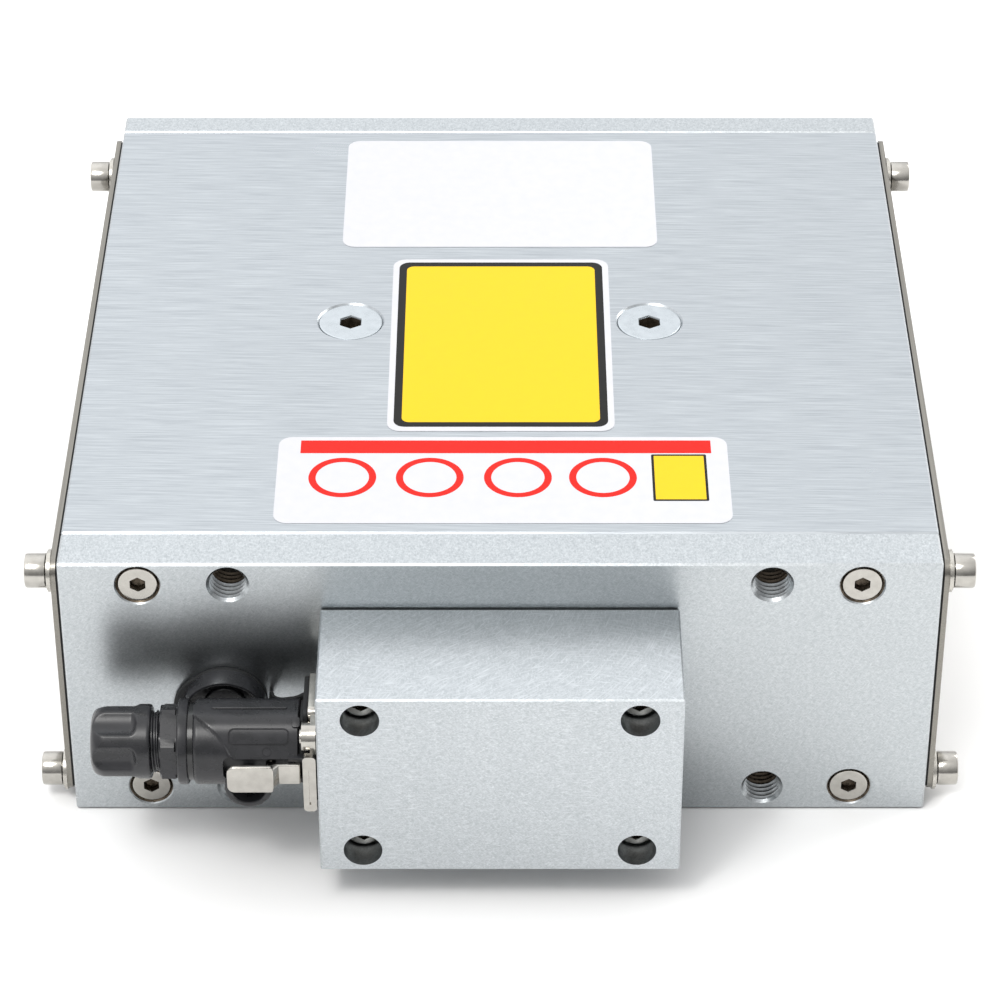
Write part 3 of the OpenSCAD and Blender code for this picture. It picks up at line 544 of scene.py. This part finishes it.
def slab(place, width, height, depth, corner, soft=0.0, segments=5, right=None):
    """Plate in mm with round corners (right: the +X ones), from place's XY plane along -Z."""
    shape = bmesh.new()
    face = bmesh.ops.create_grid(shape, x_segments=1, y_segments=1, size=0.5)["verts"]
    bmesh.ops.scale(shape, vec=(width, height, 1), verts=face)
    for side, radius in ((-1, corner), (1, corner if right is None else right)):
        if radius:
            ends = [v for v in shape.verts if abs(v.co.x - side * width / 2) < 1e-3]
            bmesh.ops.bevel(shape, geom=ends, offset=radius, segments=segments, profile=0.5,
                            affect="VERTICES", material=-1)
    made = bmesh.ops.extrude_face_region(shape, geom=shape.faces[:])["geom"]
    moved = [v for v in made if isinstance(v, bmesh.types.BMVert)]
    bmesh.ops.translate(shape, vec=(0, 0, -depth), verts=moved)
    bmesh.ops.recalc_face_normals(shape, faces=shape.faces)
    if soft:
        rims = [e for e in shape.edges if e.calc_face_angle(0) > radians(60)
                and abs(e.verts[0].co.z - e.verts[1].co.z) < 1e-6]
        bmesh.ops.bevel(shape, geom=rims, offset=soft, segments=3, profile=0.5,
                        affect="EDGES", material=-1)
    bmesh.ops.transform(shape, matrix=place, verts=shape.verts)
    return shape


def add_shape(shape, other):
    """Adds the faces of other to the shape, as a body of its own."""
    mesh = bpy.data.meshes.new("part_of_solid")
    other.to_mesh(mesh)
    other.free()
    shape.from_mesh(mesh)
    bpy.data.meshes.remove(mesh)


def neck_plate(x, thick, size, bore):
    """Plate with round corners behind the plug, from x along +X, with a hole for the neck."""
    width = size / 2 + PLATE_FRONT
    shape = slab(facing((x, PLUG_Y + width / 2 - PLATE_FRONT, PLUG_Z), Y, -X), width, size, thick,
                 2.2, 0.25)
    hole = bmesh.new()
    spin_profile(hole, [(-1, 0), (-1, bore), (thick + 1, bore), (thick + 1, 0)],
                 facing((x, PLUG_Y, PLUG_Z), Y, X), 64)
    return join_shapes(shape, hole, "DIFFERENCE")


flange = cad_copy("socket_flange")
add_shape(flange, neck_plate(PLATE_BACK_X - PLATE_THICK, PLATE_THICK, PLATE_SIZE, NECK_R - 0.05))
fit_piece("socket_flange_casting", flange, "magnet", [nickel_plated_steel], "nickel",
          "socket_flange")

# Silicone seal: brick red, satin.
coat(sleeve("red_silicone_seal", "#7c3224", "#93402f"), "plug_seal")
# Chloroprene bush: dark grey, dull.
coat(black_rubber, "gland_seal")

# Acetal ring, turned: ivory white and slippery looking. The lathe's rings are drawn 0.25 mm
# apart, coarser than they are, so they show.
turned_acetal, tree, shader = material("turned_acetal", Subsurface_Weight=0.1,
                                       Subsurface_Scale=0.001)
rings = grain(tree, (0.25, 3, 3), (0, 0, 0), 2.0)
dress(tree, shader, rings, "#d9d6ca", "#e8e6dc", (0.28, 0.4), 0.01)
coat(turned_acetal, "gland_ring")

# ---- Plug: a round moulded body with a flat panel that faces up and forwards, a lever in a
# recess at its front and a round spring housing below the lever. It pushes onto the
# socket's nose.

PLUG_X0, PLUG_R, PANEL_FACE, PANEL_ANGLE = -86.5, 12.15, 12.3, 144.2


def smooth(value):
    """The value held between 0 and 1, with a soft start and a soft end."""
    value = min(max(value, 0), 1)
    return value * value * (3 - 2 * value)


# How far the panel goes round from its middle, in degrees, where it rolls over at its top,
# where it ends below, and how softly; then its curved left edge, with a groove along it
PANEL_REACH, PANEL_ROLL, PANEL_HIGH, PANEL_LOW, HIGH_FADE, LOW_FADE = 62, 30, 8, -36, 50, 33
EDGE_START, EDGE_SLOPE, EDGE_BEND = 8.48, 0.161, 0.0015
EDGE_DEPTH, EDGE_WIDTH, EDGE_FADE = 0.22, 0.4, 12
SKIN_R, SKIN_END = 11, 29.9


def panel_shape(co):
    """Pulls the round body out to the flat panel, right of the panel's curved left edge."""
    reach = hypot(co.x, co.y)
    if reach < SKIN_R or co.z > SKIN_END:
        return co
    up = PANEL_ANGLE - degrees(atan2(co.y, co.x)) % 360
    if abs(up) > PANEL_REACH:
        return co
    within = PANEL_ROLL * tanh(up / PANEL_ROLL) if up > 0 else max(up, PANEL_LOW)
    flat = PANEL_FACE / cos(radians(within))
    past_end = (up - PANEL_HIGH) / HIGH_FADE if up > 0 else (PANEL_LOW - up) / LOW_FADE
    wanted = flat + (PLUG_R - flat) * smooth(past_end)
    past = co.z - (EDGE_START - EDGE_SLOPE * up - EDGE_BEND * up * up)
    share = smooth(past / (2 * EDGE_WIDTH) + 0.5)
    fade = smooth((PANEL_REACH - abs(up)) / EDGE_FADE)
    groove = EDGE_DEPTH * exp(-(past / EDGE_WIDTH) ** 2) * fade
    factor = (reach + (wanted - reach) * share - groove) / reach
    return Vector((co.x * factor, co.y * factor, co.z))


outer = [(0.0, 11.05), (0.12, 11.5), (0.4, 11.85), (0.75, 12.05)]
outer += [(1.2 + 0.2 * i, PLUG_R) for i in range(76)]
outer += [(16.4 + 0.8 * i, PLUG_R) for i in range(17)] + [(29.6, PLUG_R - 0.05), (29.95, 11.7)]
inner = [(30.0, 11.4), (30.0, 7.8), (17.6, 7.8), (17.6, 7.0), (6.0, 7.0), (6.0, 10.2), (0.0, 10.2)]
body = bmesh.new()
spin_profile(body, outer + inner, facing((PLUG_X0, PLUG_Y, PLUG_Z), Y, X), 180, closed=True,
             reshape=panel_shape)

# The spring's housing, and the recess for the lever across it
CUP_PLACE, CUP_R, CUP_BORE = (-71.0, -153.5, 36.6), 6.75, 5.0
RECESS_PLACE, RECESS_SIZE, RECESS_CORNER = (-62.4, -164.0, 43.65), (31.0, 8.5, 7.8), 2.2
cup = bmesh.new()
spin_profile(cup, [(0, 0), (0, CUP_R), (5.4, CUP_R), (5.8, CUP_R - 0.15), (6, CUP_R - 0.5),
                   (6, CUP_BORE + 0.3), (5.8, CUP_BORE), (1.0, CUP_BORE), (1.0, 0)],
             facing(CUP_PLACE, X, -Y), 64)
body = join_shapes(body, cup, "UNION")
recess = slab(facing(RECESS_PLACE, X, -Y), *RECESS_SIZE, RECESS_CORNER, 0, 8)
body = join_shapes(body, recess, "DIFFERENCE")
# The bare field on the panel: a shallow groove round a rounded rectangle, and a small ring
# below it
panel = facing((0, PLUG_Y, PLUG_Z), X, Vector((0, cos(radians(PANEL_ANGLE)),
                                               sin(radians(PANEL_ANGLE)))))
FIELD_X, FIELD_UP, FIELD_W, FIELD_H, FIELD_DEPTH = -67.7, 1.95, 17.2, 4.9, 0.4


def on_panel(x, up, above=0.0):
    """Matrix above the panel at x, facing out, up mm from the panel's middle."""
    return panel @ Matrix.Translation((x, up, PANEL_FACE + above))


groove = slab(on_panel(FIELD_X, FIELD_UP, 0.5), FIELD_W, FIELD_H, 0.5 + FIELD_DEPTH, 1.6)
island = slab(on_panel(FIELD_X, FIELD_UP, 0.6), FIELD_W - 1.0, FIELD_H - 1.0, 1.5, 1.1)
body = join_shapes(body, join_shapes(groove, island, "DIFFERENCE"), "DIFFERENCE")
mark = bmesh.new()
spin_profile(mark, [(-0.25, 1.1), (-0.25, 1.4), (1, 1.4), (1, 1.1)], on_panel(-65.4, -2.4), 48,
             closed=True)
body = join_shapes(body, mark, "DIFFERENCE")


def on_body(x, up, radius):
    """Matrix on the round body at x, facing out, up degrees above the panel's middle."""
    turn = radians(PANEL_ANGLE - up)
    out = Vector((0, cos(turn), sin(turn)))
    return facing(Vector((x, PLUG_Y, PLUG_Z)) + out * radius, X, out)


# A rib along the body above the panel, a slit across its right end, and a small raised pad
body = join_shapes(body, slab(on_body(-70.6, 53, 12.65), 21.2, 0.8, 1.4, 0.35, 0.34), "UNION")
body = join_shapes(body, slab(on_body(-57.5, 62, 13), 0.35, 7, 1.3, 0.0), "DIFFERENCE")
body = join_shapes(body, slab(on_body(-57.3, 27, 13.6), 2.3, 3.2, 1.5, 0.7, 0.25), "UNION")
fit_piece("plug_shell", body, "magnet", [moulded_black_polyamide], "black_nylon", "plug_body",
          sharp=28)

# ---- Release lever: stamped from 1.5 mm steel sheet, nickel plated, with a step between its
# thumb pad and its hook arm. It turns on a pin through the plug, against a small spring.

PAD_FACE, ARM_FACE, SHEET = -164.1, -162.0, 1.5
PAD_X, PAD_W, PAD_H, PAD_Z, ARM_X1, ARM_H, ARM_Z = -76.6, 13.0, 9.1, 43.55, -55.9, 6.7, 43.8
lever = slab(facing((PAD_X + PAD_W / 2, PAD_FACE, PAD_Z), X, -Y), PAD_W, PAD_H, SHEET, 2.2,
             0.35, 6, 0.9)
arm = bmesh.new()
side = [(PAD_X + PAD_W - 2, PAD_FACE), (PAD_X + PAD_W, PAD_FACE),
        (PAD_X + PAD_W + 1.6, ARM_FACE), (ARM_X1 - 0.7, ARM_FACE), (ARM_X1 - 0.2, ARM_FACE + 0.2),
        (ARM_X1, ARM_FACE + 0.7), (ARM_X1, ARM_FACE + 3.2), (ARM_X1 - SHEET, ARM_FACE + 3.2),
        (ARM_X1 - SHEET, ARM_FACE + 1.4), (PAD_X + PAD_W, ARM_FACE + 1.4),
        (PAD_X + PAD_W - 2, PAD_FACE + SHEET)]
face = arm.faces.new([arm.verts.new((x, y, ARM_Z - ARM_H / 2)) for x, y in side])
made = bmesh.ops.extrude_face_region(arm, geom=[face])["geom"]
bmesh.ops.translate(arm, vec=(0, 0, ARM_H), verts=[v for v in made
                                                   if isinstance(v, bmesh.types.BMVert)])
bmesh.ops.recalc_face_normals(arm, faces=arm.faces)
bmesh.ops.bevel(arm, geom=arm.edges[:], offset=0.22, segments=3, profile=0.5, affect="EDGES",
                material=-1)
lever = join_shapes(lever, arm, "UNION")
# The lug that the pin goes through, and the web that carries it
PIVOT, LUG_H = (-64.5, -157.9), 4.6
lug = bmesh.new()
spin_profile(lug, [(0, 0.75), (0, 1.4), (LUG_H, 1.4), (LUG_H, 0.75)],
             facing((*PIVOT, ARM_Z - ARM_H / 2), X, Z), 32, closed=True)
add_shape(lever, lug)
add_shape(lever, slab(facing((PIVOT[0], PAD_FACE + 1.3, ARM_Z), X, -Y), 1.4, 4, 4.0, 0))
fit_piece("lever_stamping", lever, "release_lever", [nickel_plated_steel], "nickel",
          "release_lever", sharp=40)
pin = bmesh.new()
spin_profile(pin, [(-6.2, 0), (-6.2, 0.7), (0.7, 0.7), (0.7, 0)],
             facing((*PIVOT, PLUG_Z), X, Z), 24)
fit_piece("lever_hinge_pin", pin, "magnet", [nickel_plated_steel], "nickel", "lever_pin")

# Spring steel wire, drawn and blued: dark grey with a blue cast, bright along its turns.
blued_spring_wire, tree, shader = material("blued_spring_wire", Metallic=1.0)
draw = grain(tree, (0.2, 0.2, 0.2), (0, 0, 0), 2.0)
dress(tree, shader, draw, "#7d8288", "#a4a8ac", (0.2, 0.32), 0.004)
coat(blued_spring_wire, "lever_spring")

# ---- Collar: a moulded ring with a hexagon for the spanner and the thread for the gland nut,
# pressed into the plug's left end over a glossy black seal ring.

# Nitrile seal: deep black and wet looking.
glossy_nitrile, tree, shader = material("glossy_nitrile", Specular_IOR_Level=0.6)
skin = grain(tree, (2, 2, 2), (0, 0, 0), 2.0)
dress(tree, shader, skin, "#0d0e0f", "#18191a", (0.12, 0.22), 0.01)
coat(glossy_nitrile, "collar_seal")

HEX_R, HEX_CORNER, HEX_END_R, HEX_START, HEX_END = 11.5, 11.38, 10.55, 5.0, 10.0


def collar_shape(co):
    """Turns the collar's middle band into a hexagon with blunt corners and bevelled ends."""
    reach = hypot(co.x, co.y)
    if not HEX_START + 1e-3 < co.z < HEX_END - 1e-3 or reach < 10:
        return co
    angle = (degrees(atan2(co.y, co.x)) + 360) % 60 - 30
    wanted = min(HEX_R * cos(pi / 6) / cos(radians(30 - abs(angle))), HEX_CORNER)
    if co.z < HEX_START + 0.4 or co.z > HEX_END - 0.4:
        wanted = min(wanted, HEX_END_R)
    return Vector((co.x * wanted / reach, co.y * wanted / reach, co.z))


COLLAR_X, THREAD_ROOT, THREAD_CREST, STEM_R, STEM_BORE = -101.0, 8.2, 8.87, 8.6, 6.9
collar_place = facing((COLLAR_X, PLUG_Y, PLUG_Z), Y, X)
collar = bmesh.new()
profile = [(-4.2, STEM_BORE), (-4.2, STEM_R - 0.3), (-3.9, STEM_R), (0.0, STEM_R),
           (0.0, 8.25), (5.0, 8.25), (5.0, 10.4), (5.3, 10.9), (5.6, 11.0), (9.4, 11.0),
           (9.7, 10.9), (9.99, 10.7), (10.05, 11.7), (10.2, 12.0), (10.5, 12.2), (12.5, 12.2),
           (12.8, 12.05), (13.0, 11.7), (13.0, 10.2), (20.5, 10.2), (20.5, STEM_BORE)]
spin_profile(collar, profile, collar_place, 96, closed=True, reshape=collar_shape)
thread(collar, collar_place, 0.15, 3.0, 1.5, [(0.0, THREAD_ROOT), (0.45, THREAD_CREST),
                                              (0.75, THREAD_CREST), (1.2, THREAD_ROOT)], 64)
fit_piece("collar_moulding", collar, "magnet", [moulded_black_polyamide], "black_nylon",
          "plug_collar", sharp=28)

# ---- Gland nut: a domed cap nut that squeezes a bush round the cable. Six long scoops give
# the fingers their grip; they run out into the nut's plain right-hand end.

# The scoops are cut by cylinders SCOOP_D from the axis; they leave the bore and skirt alone
GLAND_X0, GLAND_R, GLAND_BORE, DOME = -115.6, 10.6, 5.2, 4.5
SCOOP_R, SCOOP_D, SCOOP_END, SCOOP_RISE, SCOOP_TURN, SCOOP_SOFT = 7.0, 15.85, 11.3, 0.4, 52, 0.07
BORE_END, BORE_REACH, SKIRT_REACH, DEEPEST = 4.2, 6.3, 9.3, 5.9


def gland_shape(co):
    """Sinks six scoops into the nut; each rises to the nut's skin at its right-hand end."""
    reach = hypot(co.x, co.y)
    if reach < (BORE_REACH if co.z < BORE_END else SKIRT_REACH):
        return co
    angle = (degrees(atan2(co.y, co.x)) - SCOOP_TURN + 720) % 60
    off = radians(angle if angle < 30 else angle - 60)
    centre = SCOOP_D + SCOOP_RISE * max(co.z - SCOOP_END, 0) ** 2
    inside = SCOOP_R ** 2 - (centre * sin(off)) ** 2
    scoop = centre * cos(off) - sqrt(inside) if inside > 0 else 99
    blend = reach - SCOOP_SOFT * log(1 + exp((reach - min(scoop, reach + 3)) / SCOOP_SOFT))
    factor = max(blend, DEEPEST) / reach
    return Vector((co.x * factor, co.y * factor, co.z))


dome = [(DOME - DOME * cos(radians(a)), GLAND_BORE + 1.4 + 4 * sin(radians(a)))
        for a in range(0, 90, 4)]
outer = [(0, GLAND_BORE + 0.3), *dome, *((DOME + 0.3 * i, GLAND_R) for i in range(39)),
         (16.3, GLAND_R), (16.7, GLAND_R - 0.12), (16.92, GLAND_R - 0.35), (17.0, GLAND_R - 0.6)]
inner = [(17.0, 9.15), (16.85, 9.0), (11.8, 9.0), (11.8, 8.7), (8.0, 8.7), (8.0, 6.9), (4.0, 6.9),
         (4.0, GLAND_BORE), (0.3, GLAND_BORE)]
nut = bmesh.new()
spin_profile(nut, outer + inner, facing((GLAND_X0, PLUG_Y, PLUG_Z), Y, X), 216, closed=True,
             reshape=gland_shape)
fit_piece("gland_nut_moulding", nut, "gland", [moulded_black_polyamide], "black_nylon",
          "gland_nut", sharp=40)

# ---- Dust cap and tether: a moulded cap for the bare socket. It leans flat on the front plate
# behind the plug, in the ring of its rubber tether. The tether is one soft moulding that
# keeps its bend; its other end is a plate and a ring on the socket's neck.

CAP_X, CAP_Z, CAP_R = -79.2, 41.2, 12.1
cap = bmesh.new()
profile = [(0, 0), (0, CAP_R - 0.5), (0.15, CAP_R - 0.15), (0.5, CAP_R), (7.1, CAP_R),
           (7.5, CAP_R - 0.15), (7.6, CAP_R - 0.4), (7.6, CAP_R - 0.7), (7.45, CAP_R - 1.0),
           (7.1, CAP_R - 1.1), (2.4, CAP_R - 1.1), (1.95, CAP_R - 1.5), (1.9, 6.5), (2.0, 6.3),
           (2.7, 6.1), (2.9, 5.8), (2.9, 0)]
spin_profile(cap, profile, facing((CAP_X, FRONT_Y, CAP_Z), X, -Y), 96)
fit_piece("dust_cap_moulding", cap, "magnet", [moulded_black_polyamide], "black_nylon",
          "dust_cap")

TETHER_ROUTE = [(-55.2, -138.9, 50.6), (-55.2, -134.6, 49.9), (-58.8, -133.6, 47.8),
                (-62.8, -131.6, 45.6), (-65.2, -128.9, 44.4), (-66, -126.2, 43.6)]


def smooth_route(points, parts):
    """Points of a curve through the given points, parts to each span."""
    points = [Vector(p) for p in points]
    ends = [2 * points[0] - points[1], *points, 2 * points[-1] - points[-2]]
    route = []
    for a, b, c, d in zip(ends, ends[1:], ends[2:], ends[3:]):
        for i in range(parts):
            t = i / parts
            route.append(0.5 * (2 * b + (c - a) * t + (2 * a - 5 * b + 4 * c - d) * t * t
                                + (3 * b - a - 3 * c + d) * t ** 3))
    return [*route, points[-1]]


STRAP_THICK, STRAP_WIDTH = 1.2, 3.0
route = smooth_route(TETHER_ROUTE, 6)
tether = bmesh.new()
loops = []
for i, point in enumerate(route):
    along = (route[min(i + 1, len(route) - 1)] - route[max(i - 1, 0)]).normalized()
    flat = along.cross(Vector((0.2, -0.25, 1)).normalized()).normalized()
    ring = bmesh.ops.create_circle(tether, cap_ends=False, segments=16, radius=1.0)["verts"]
    for v in ring:
        v.co.x = STRAP_THICK / 2 * max(-1, min(1, 1.35 * v.co.x))
        v.co.y = STRAP_WIDTH / 2 * max(-1, min(1, 1.12 * v.co.y))
    bmesh.ops.transform(tether, matrix=facing(point, flat, along), verts=ring)
    loops.append([e for e in tether.edges if e.verts[0] in ring and e.verts[1] in ring])
    if i:
        bmesh.ops.bridge_loops(tether, edges=loops[-2] + loops[-1])
for end in (loops[0], loops[-1]):
    bmesh.ops.edgeloop_fill(tether, edges=end)

RING_X, RING_R, NECK_PLATE_X = -56.35, NECK_R + 2.9, -55.5
spin_profile(tether, [(0, NECK_R), (0, RING_R - 0.25), (0.25, RING_R), (1.9, RING_R),
                      (2.2, RING_R - 0.25), (2.2, NECK_R)],
             facing((RING_X, PLUG_Y, PLUG_Z), Y, X), 64, closed=True)
add_shape(tether, neck_plate(NECK_PLATE_X, 1.35, 27.6, NECK_R))
# The ring that holds the cap, and a second one behind it, whose edge shows below on the left
for x, z, bore, radius in ((CAP_X, CAP_Z, CAP_R - 0.5, CAP_R + 0.1),
                           (CAP_X - 2.1, CAP_Z - 2.6, CAP_R - 2.4, CAP_R + 1.0)):
    spin_profile(tether, [(0, bore), (0, radius - 0.3), (0.12, radius - 0.08), (0.4, radius),
                          (1.2, radius), (1.48, radius - 0.08), (1.6, radius - 0.3), (1.6, bore)],
                 facing((x, FRONT_Y, z), X, -Y), 96, closed=True)
fit_piece("dust_cap_tether", tether, "magnet", [black_rubber], "black_rubber", "cap_strap",
          sharp=50)

# ---- Labels: three stickers on the yoke, cut from white polyester film with round corners and
# printed in flat fields of colour under a clear film.


def printed_film(name, low, high, shine=0.2):
    """Polyester film, printed: an even colour, faintly uneven, under a thin satin film."""
    made, tree, shader = material(name, Specular_IOR_Level=shine)
    dots = grain(tree, (3.5, 3.5, 3.5))
    dress(tree, shader, dots, low, high, (0.3, 0.4), 0.004)
    return made


white_film = printed_film("white_printed_film", "#bfc0c4", "#c3c3c7")
black_ink = printed_film("black_printed_film", "#0e0e0d", "#161614", 0.15)
yellow_ink = printed_film("yellow_printed_film", "#d7b208", "#dab40c")
red_ink = printed_film("red_printed_film", "#c4190f", "#cc1e14", 0.12)
LABEL_TOP, INK, LAYER, LABEL_CORNER = 90.15, 0.03, 0.01, 4.0
# Height of the top and thickness of the film, and of the inks printed on it
FILM, BAND = (LABEL_TOP - INK, 0.12), (LABEL_TOP, INK)
BORDER, FIELD = (LABEL_TOP - LAYER, INK - LAYER), (LABEL_TOP, LAYER)

for name, (x0, x1, y0, y1), (top, depth), corner, finish, slot, *stands_for in (
        ("rear_label", (-50, 50, 43, 109), FILM, LABEL_CORNER, white_film, "label_white",
         "label_rear"),
        ("front_label", (-65, 66.7, -105.5, -62.5), FILM, LABEL_CORNER, white_film,
         "label_white", "label_front"),
        ("middle_label", (-33.5, 34, -59.4, 35.5), FILM, LABEL_CORNER, white_film,
         "label_yellow", "label_middle"),
        ("middle_label_border", (-31.6, 32.1, -57.2, 33.7), BORDER, 3.2, black_ink,
         "label_yellow"),
        ("middle_label_field", (-29.2, 29.7, -54.8, 31.3), FIELD, 2.2, yellow_ink,
         "label_yellow"),
        ("front_label_band", (-58.5, 61.9, -70.8, -64.3), BAND, 0.15, red_ink, "label_white"),
        ("front_label_frame", (44.2, 60.3, -94.7, -71.4), BORDER, 0.5, black_ink,
         "label_yellow"),
        ("front_label_square", (44.95, 59.55, -93.9, -72.2), FIELD, 0.2, yellow_ink,
         "label_yellow")):
    place = facing(((x0 + x1) / 2, (y0 + y1) / 2, top), X, Z)
    fit_piece(name, slab(place, x1 - x0, y1 - y0, depth, corner), "magnet", [finish], slot,
              *stands_for)
RING_INNER, RING_OUTER, RING_Y = 7.75, 9.85, -83.0
rings = bmesh.new()
for x in (-45.8, -20.4, 5.2, 29.9):
    spin_profile(rings, [(-INK, RING_INNER), (-INK, RING_OUTER), (0, RING_OUTER),
                         (0, RING_INNER)], facing((x, RING_Y, LABEL_TOP), X, Z), 72, closed=True)
fit_piece("front_label_rings", rings, "magnet", [red_ink], "label_white")

# ---- Studio: a wide pale table under a soft sky that fades towards the horizon, three soft
# boxes, of which two are in front and one is behind on the right, and a camera.

# Matt laminate table top: near white, without any gloss.
matt_white_laminate, tree, shader = material("matt_white_laminate", Roughness=0.9,
                                             Specular_IOR_Level=0.1)
shader.inputs["Base Color"].default_value = linear("#f2f2f2")
table = bpy.data.objects.new("table_top", bpy.data.meshes.new("table_top"))
TABLE_REACH, TABLE_GAP = 6, 0.0003
shape = bmesh.new()
bmesh.ops.create_grid(shape, x_segments=1, y_segments=1, size=TABLE_REACH)
bmesh.ops.translate(shape, vec=(0, 0, -TABLE_GAP), verts=shape.verts)
shape.to_mesh(table.data)
shape.free()
table.data.materials.append(matt_white_laminate)
bpy.context.scene.collection.objects.link(table)

SKY_FRONT, SKY_SIDE, SKY_BACK = (1.05, 1.05, 1.05, 1), (1.0, 1.0, 1.0, 1), (1.61, 1.63, 1.66, 1)
world = bpy.data.worlds.new("studio_sky")
bpy.context.scene.world = world
world.use_nodes = True
tree = world.node_tree
direction = node(tree, "SeparateXYZ", {0: node(tree, "TexCoord").outputs["Generated"]}).outputs
# The sky goes from one strength to another between two directions: stronger overhead than at
# the horizon and on the left than on the right. The room in front is dark, but not overhead.
sky = {}
for name, axis, start, end, low, high in (("behind", "Y", -1, 1, 0, 1),
                                          ("up", "Z", 0, 1, 0.46, 1.4),
                                          ("right", "X", -1, 1, 1.43, 0.58),
                                          ("dark_low", "Z", 0.25, 0.95, 0.45, 0),
                                          ("dark_front", "Y", -0.7, -0.1, 1, 0)):
    sky[name] = node(tree, "MapRange", {"Value": direction[axis], "From Min": start,
                                        "From Max": end, "To Min": low,
                                        "To Max": high}).outputs["Result"]
ramp = node(tree, "ValToRGB", {"Fac": sky["behind"]})
ramp.color_ramp.elements[0].color, ramp.color_ramp.elements[1].color = SKY_FRONT, SKY_BACK
ramp.color_ramp.elements.new(0.5).color = SKY_SIDE
dark = node(tree, "Math", {0: sky["dark_low"], 1: sky["dark_front"]}, operation="MULTIPLY")
lit = node(tree, "Math", {0: 1.0, 1: dark.outputs[0]}, operation="SUBTRACT").outputs[0]
strength = node(tree, "Math", {0: sky["up"], 1: sky["right"]}, operation="MULTIPLY").outputs[0]
strength = node(tree, "Math", {0: strength, 1: lit}, operation="MULTIPLY").outputs[0]
tree.links.new(ramp.outputs["Color"], tree.nodes["Background"].inputs["Color"])
tree.links.new(strength, tree.nodes["Background"].inputs["Strength"])

LAMP_COLOUR = (1.0, 0.99, 0.97)
for name, place, size, power in (("front_box", (-0.55, -1.1, 2.0), 1.0, 16),
                                 ("small_box", (-0.55, -0.9, 1.5), 0.25, 5),
                                 ("right_box", (0.9, 0.6, 0.7), 0.8, 8.8)):
    lamp = bpy.data.lights.new(name, "AREA")
    lamp.shape, lamp.size, lamp.energy = "SQUARE", size, power
    lamp.color = LAMP_COLOUR
    holder = bpy.data.objects.new(name, lamp)
    holder.location = place
    holder.rotation_euler = (-Vector(place)).to_track_quat("-Z", "Y").to_euler()
    bpy.context.scene.collection.objects.link(holder)

LENS, CAMERA_PLACE, CAMERA_DOWN, FAR = 137.09, (0, -0.9835, 0.7322), 35.83, 20
camera = bpy.data.cameras.new("camera")
camera.lens, camera.sensor_width, camera.clip_end = LENS, 36, FAR
holder = bpy.data.objects.new("camera", camera)
holder.location = CAMERA_PLACE
holder.rotation_euler = (radians(90 - CAMERA_DOWN), 0, 0)
bpy.context.scene.collection.objects.link(holder)
bpy.context.scene.camera = holder
bpy.context.scene.view_settings.view_transform = "Standard"
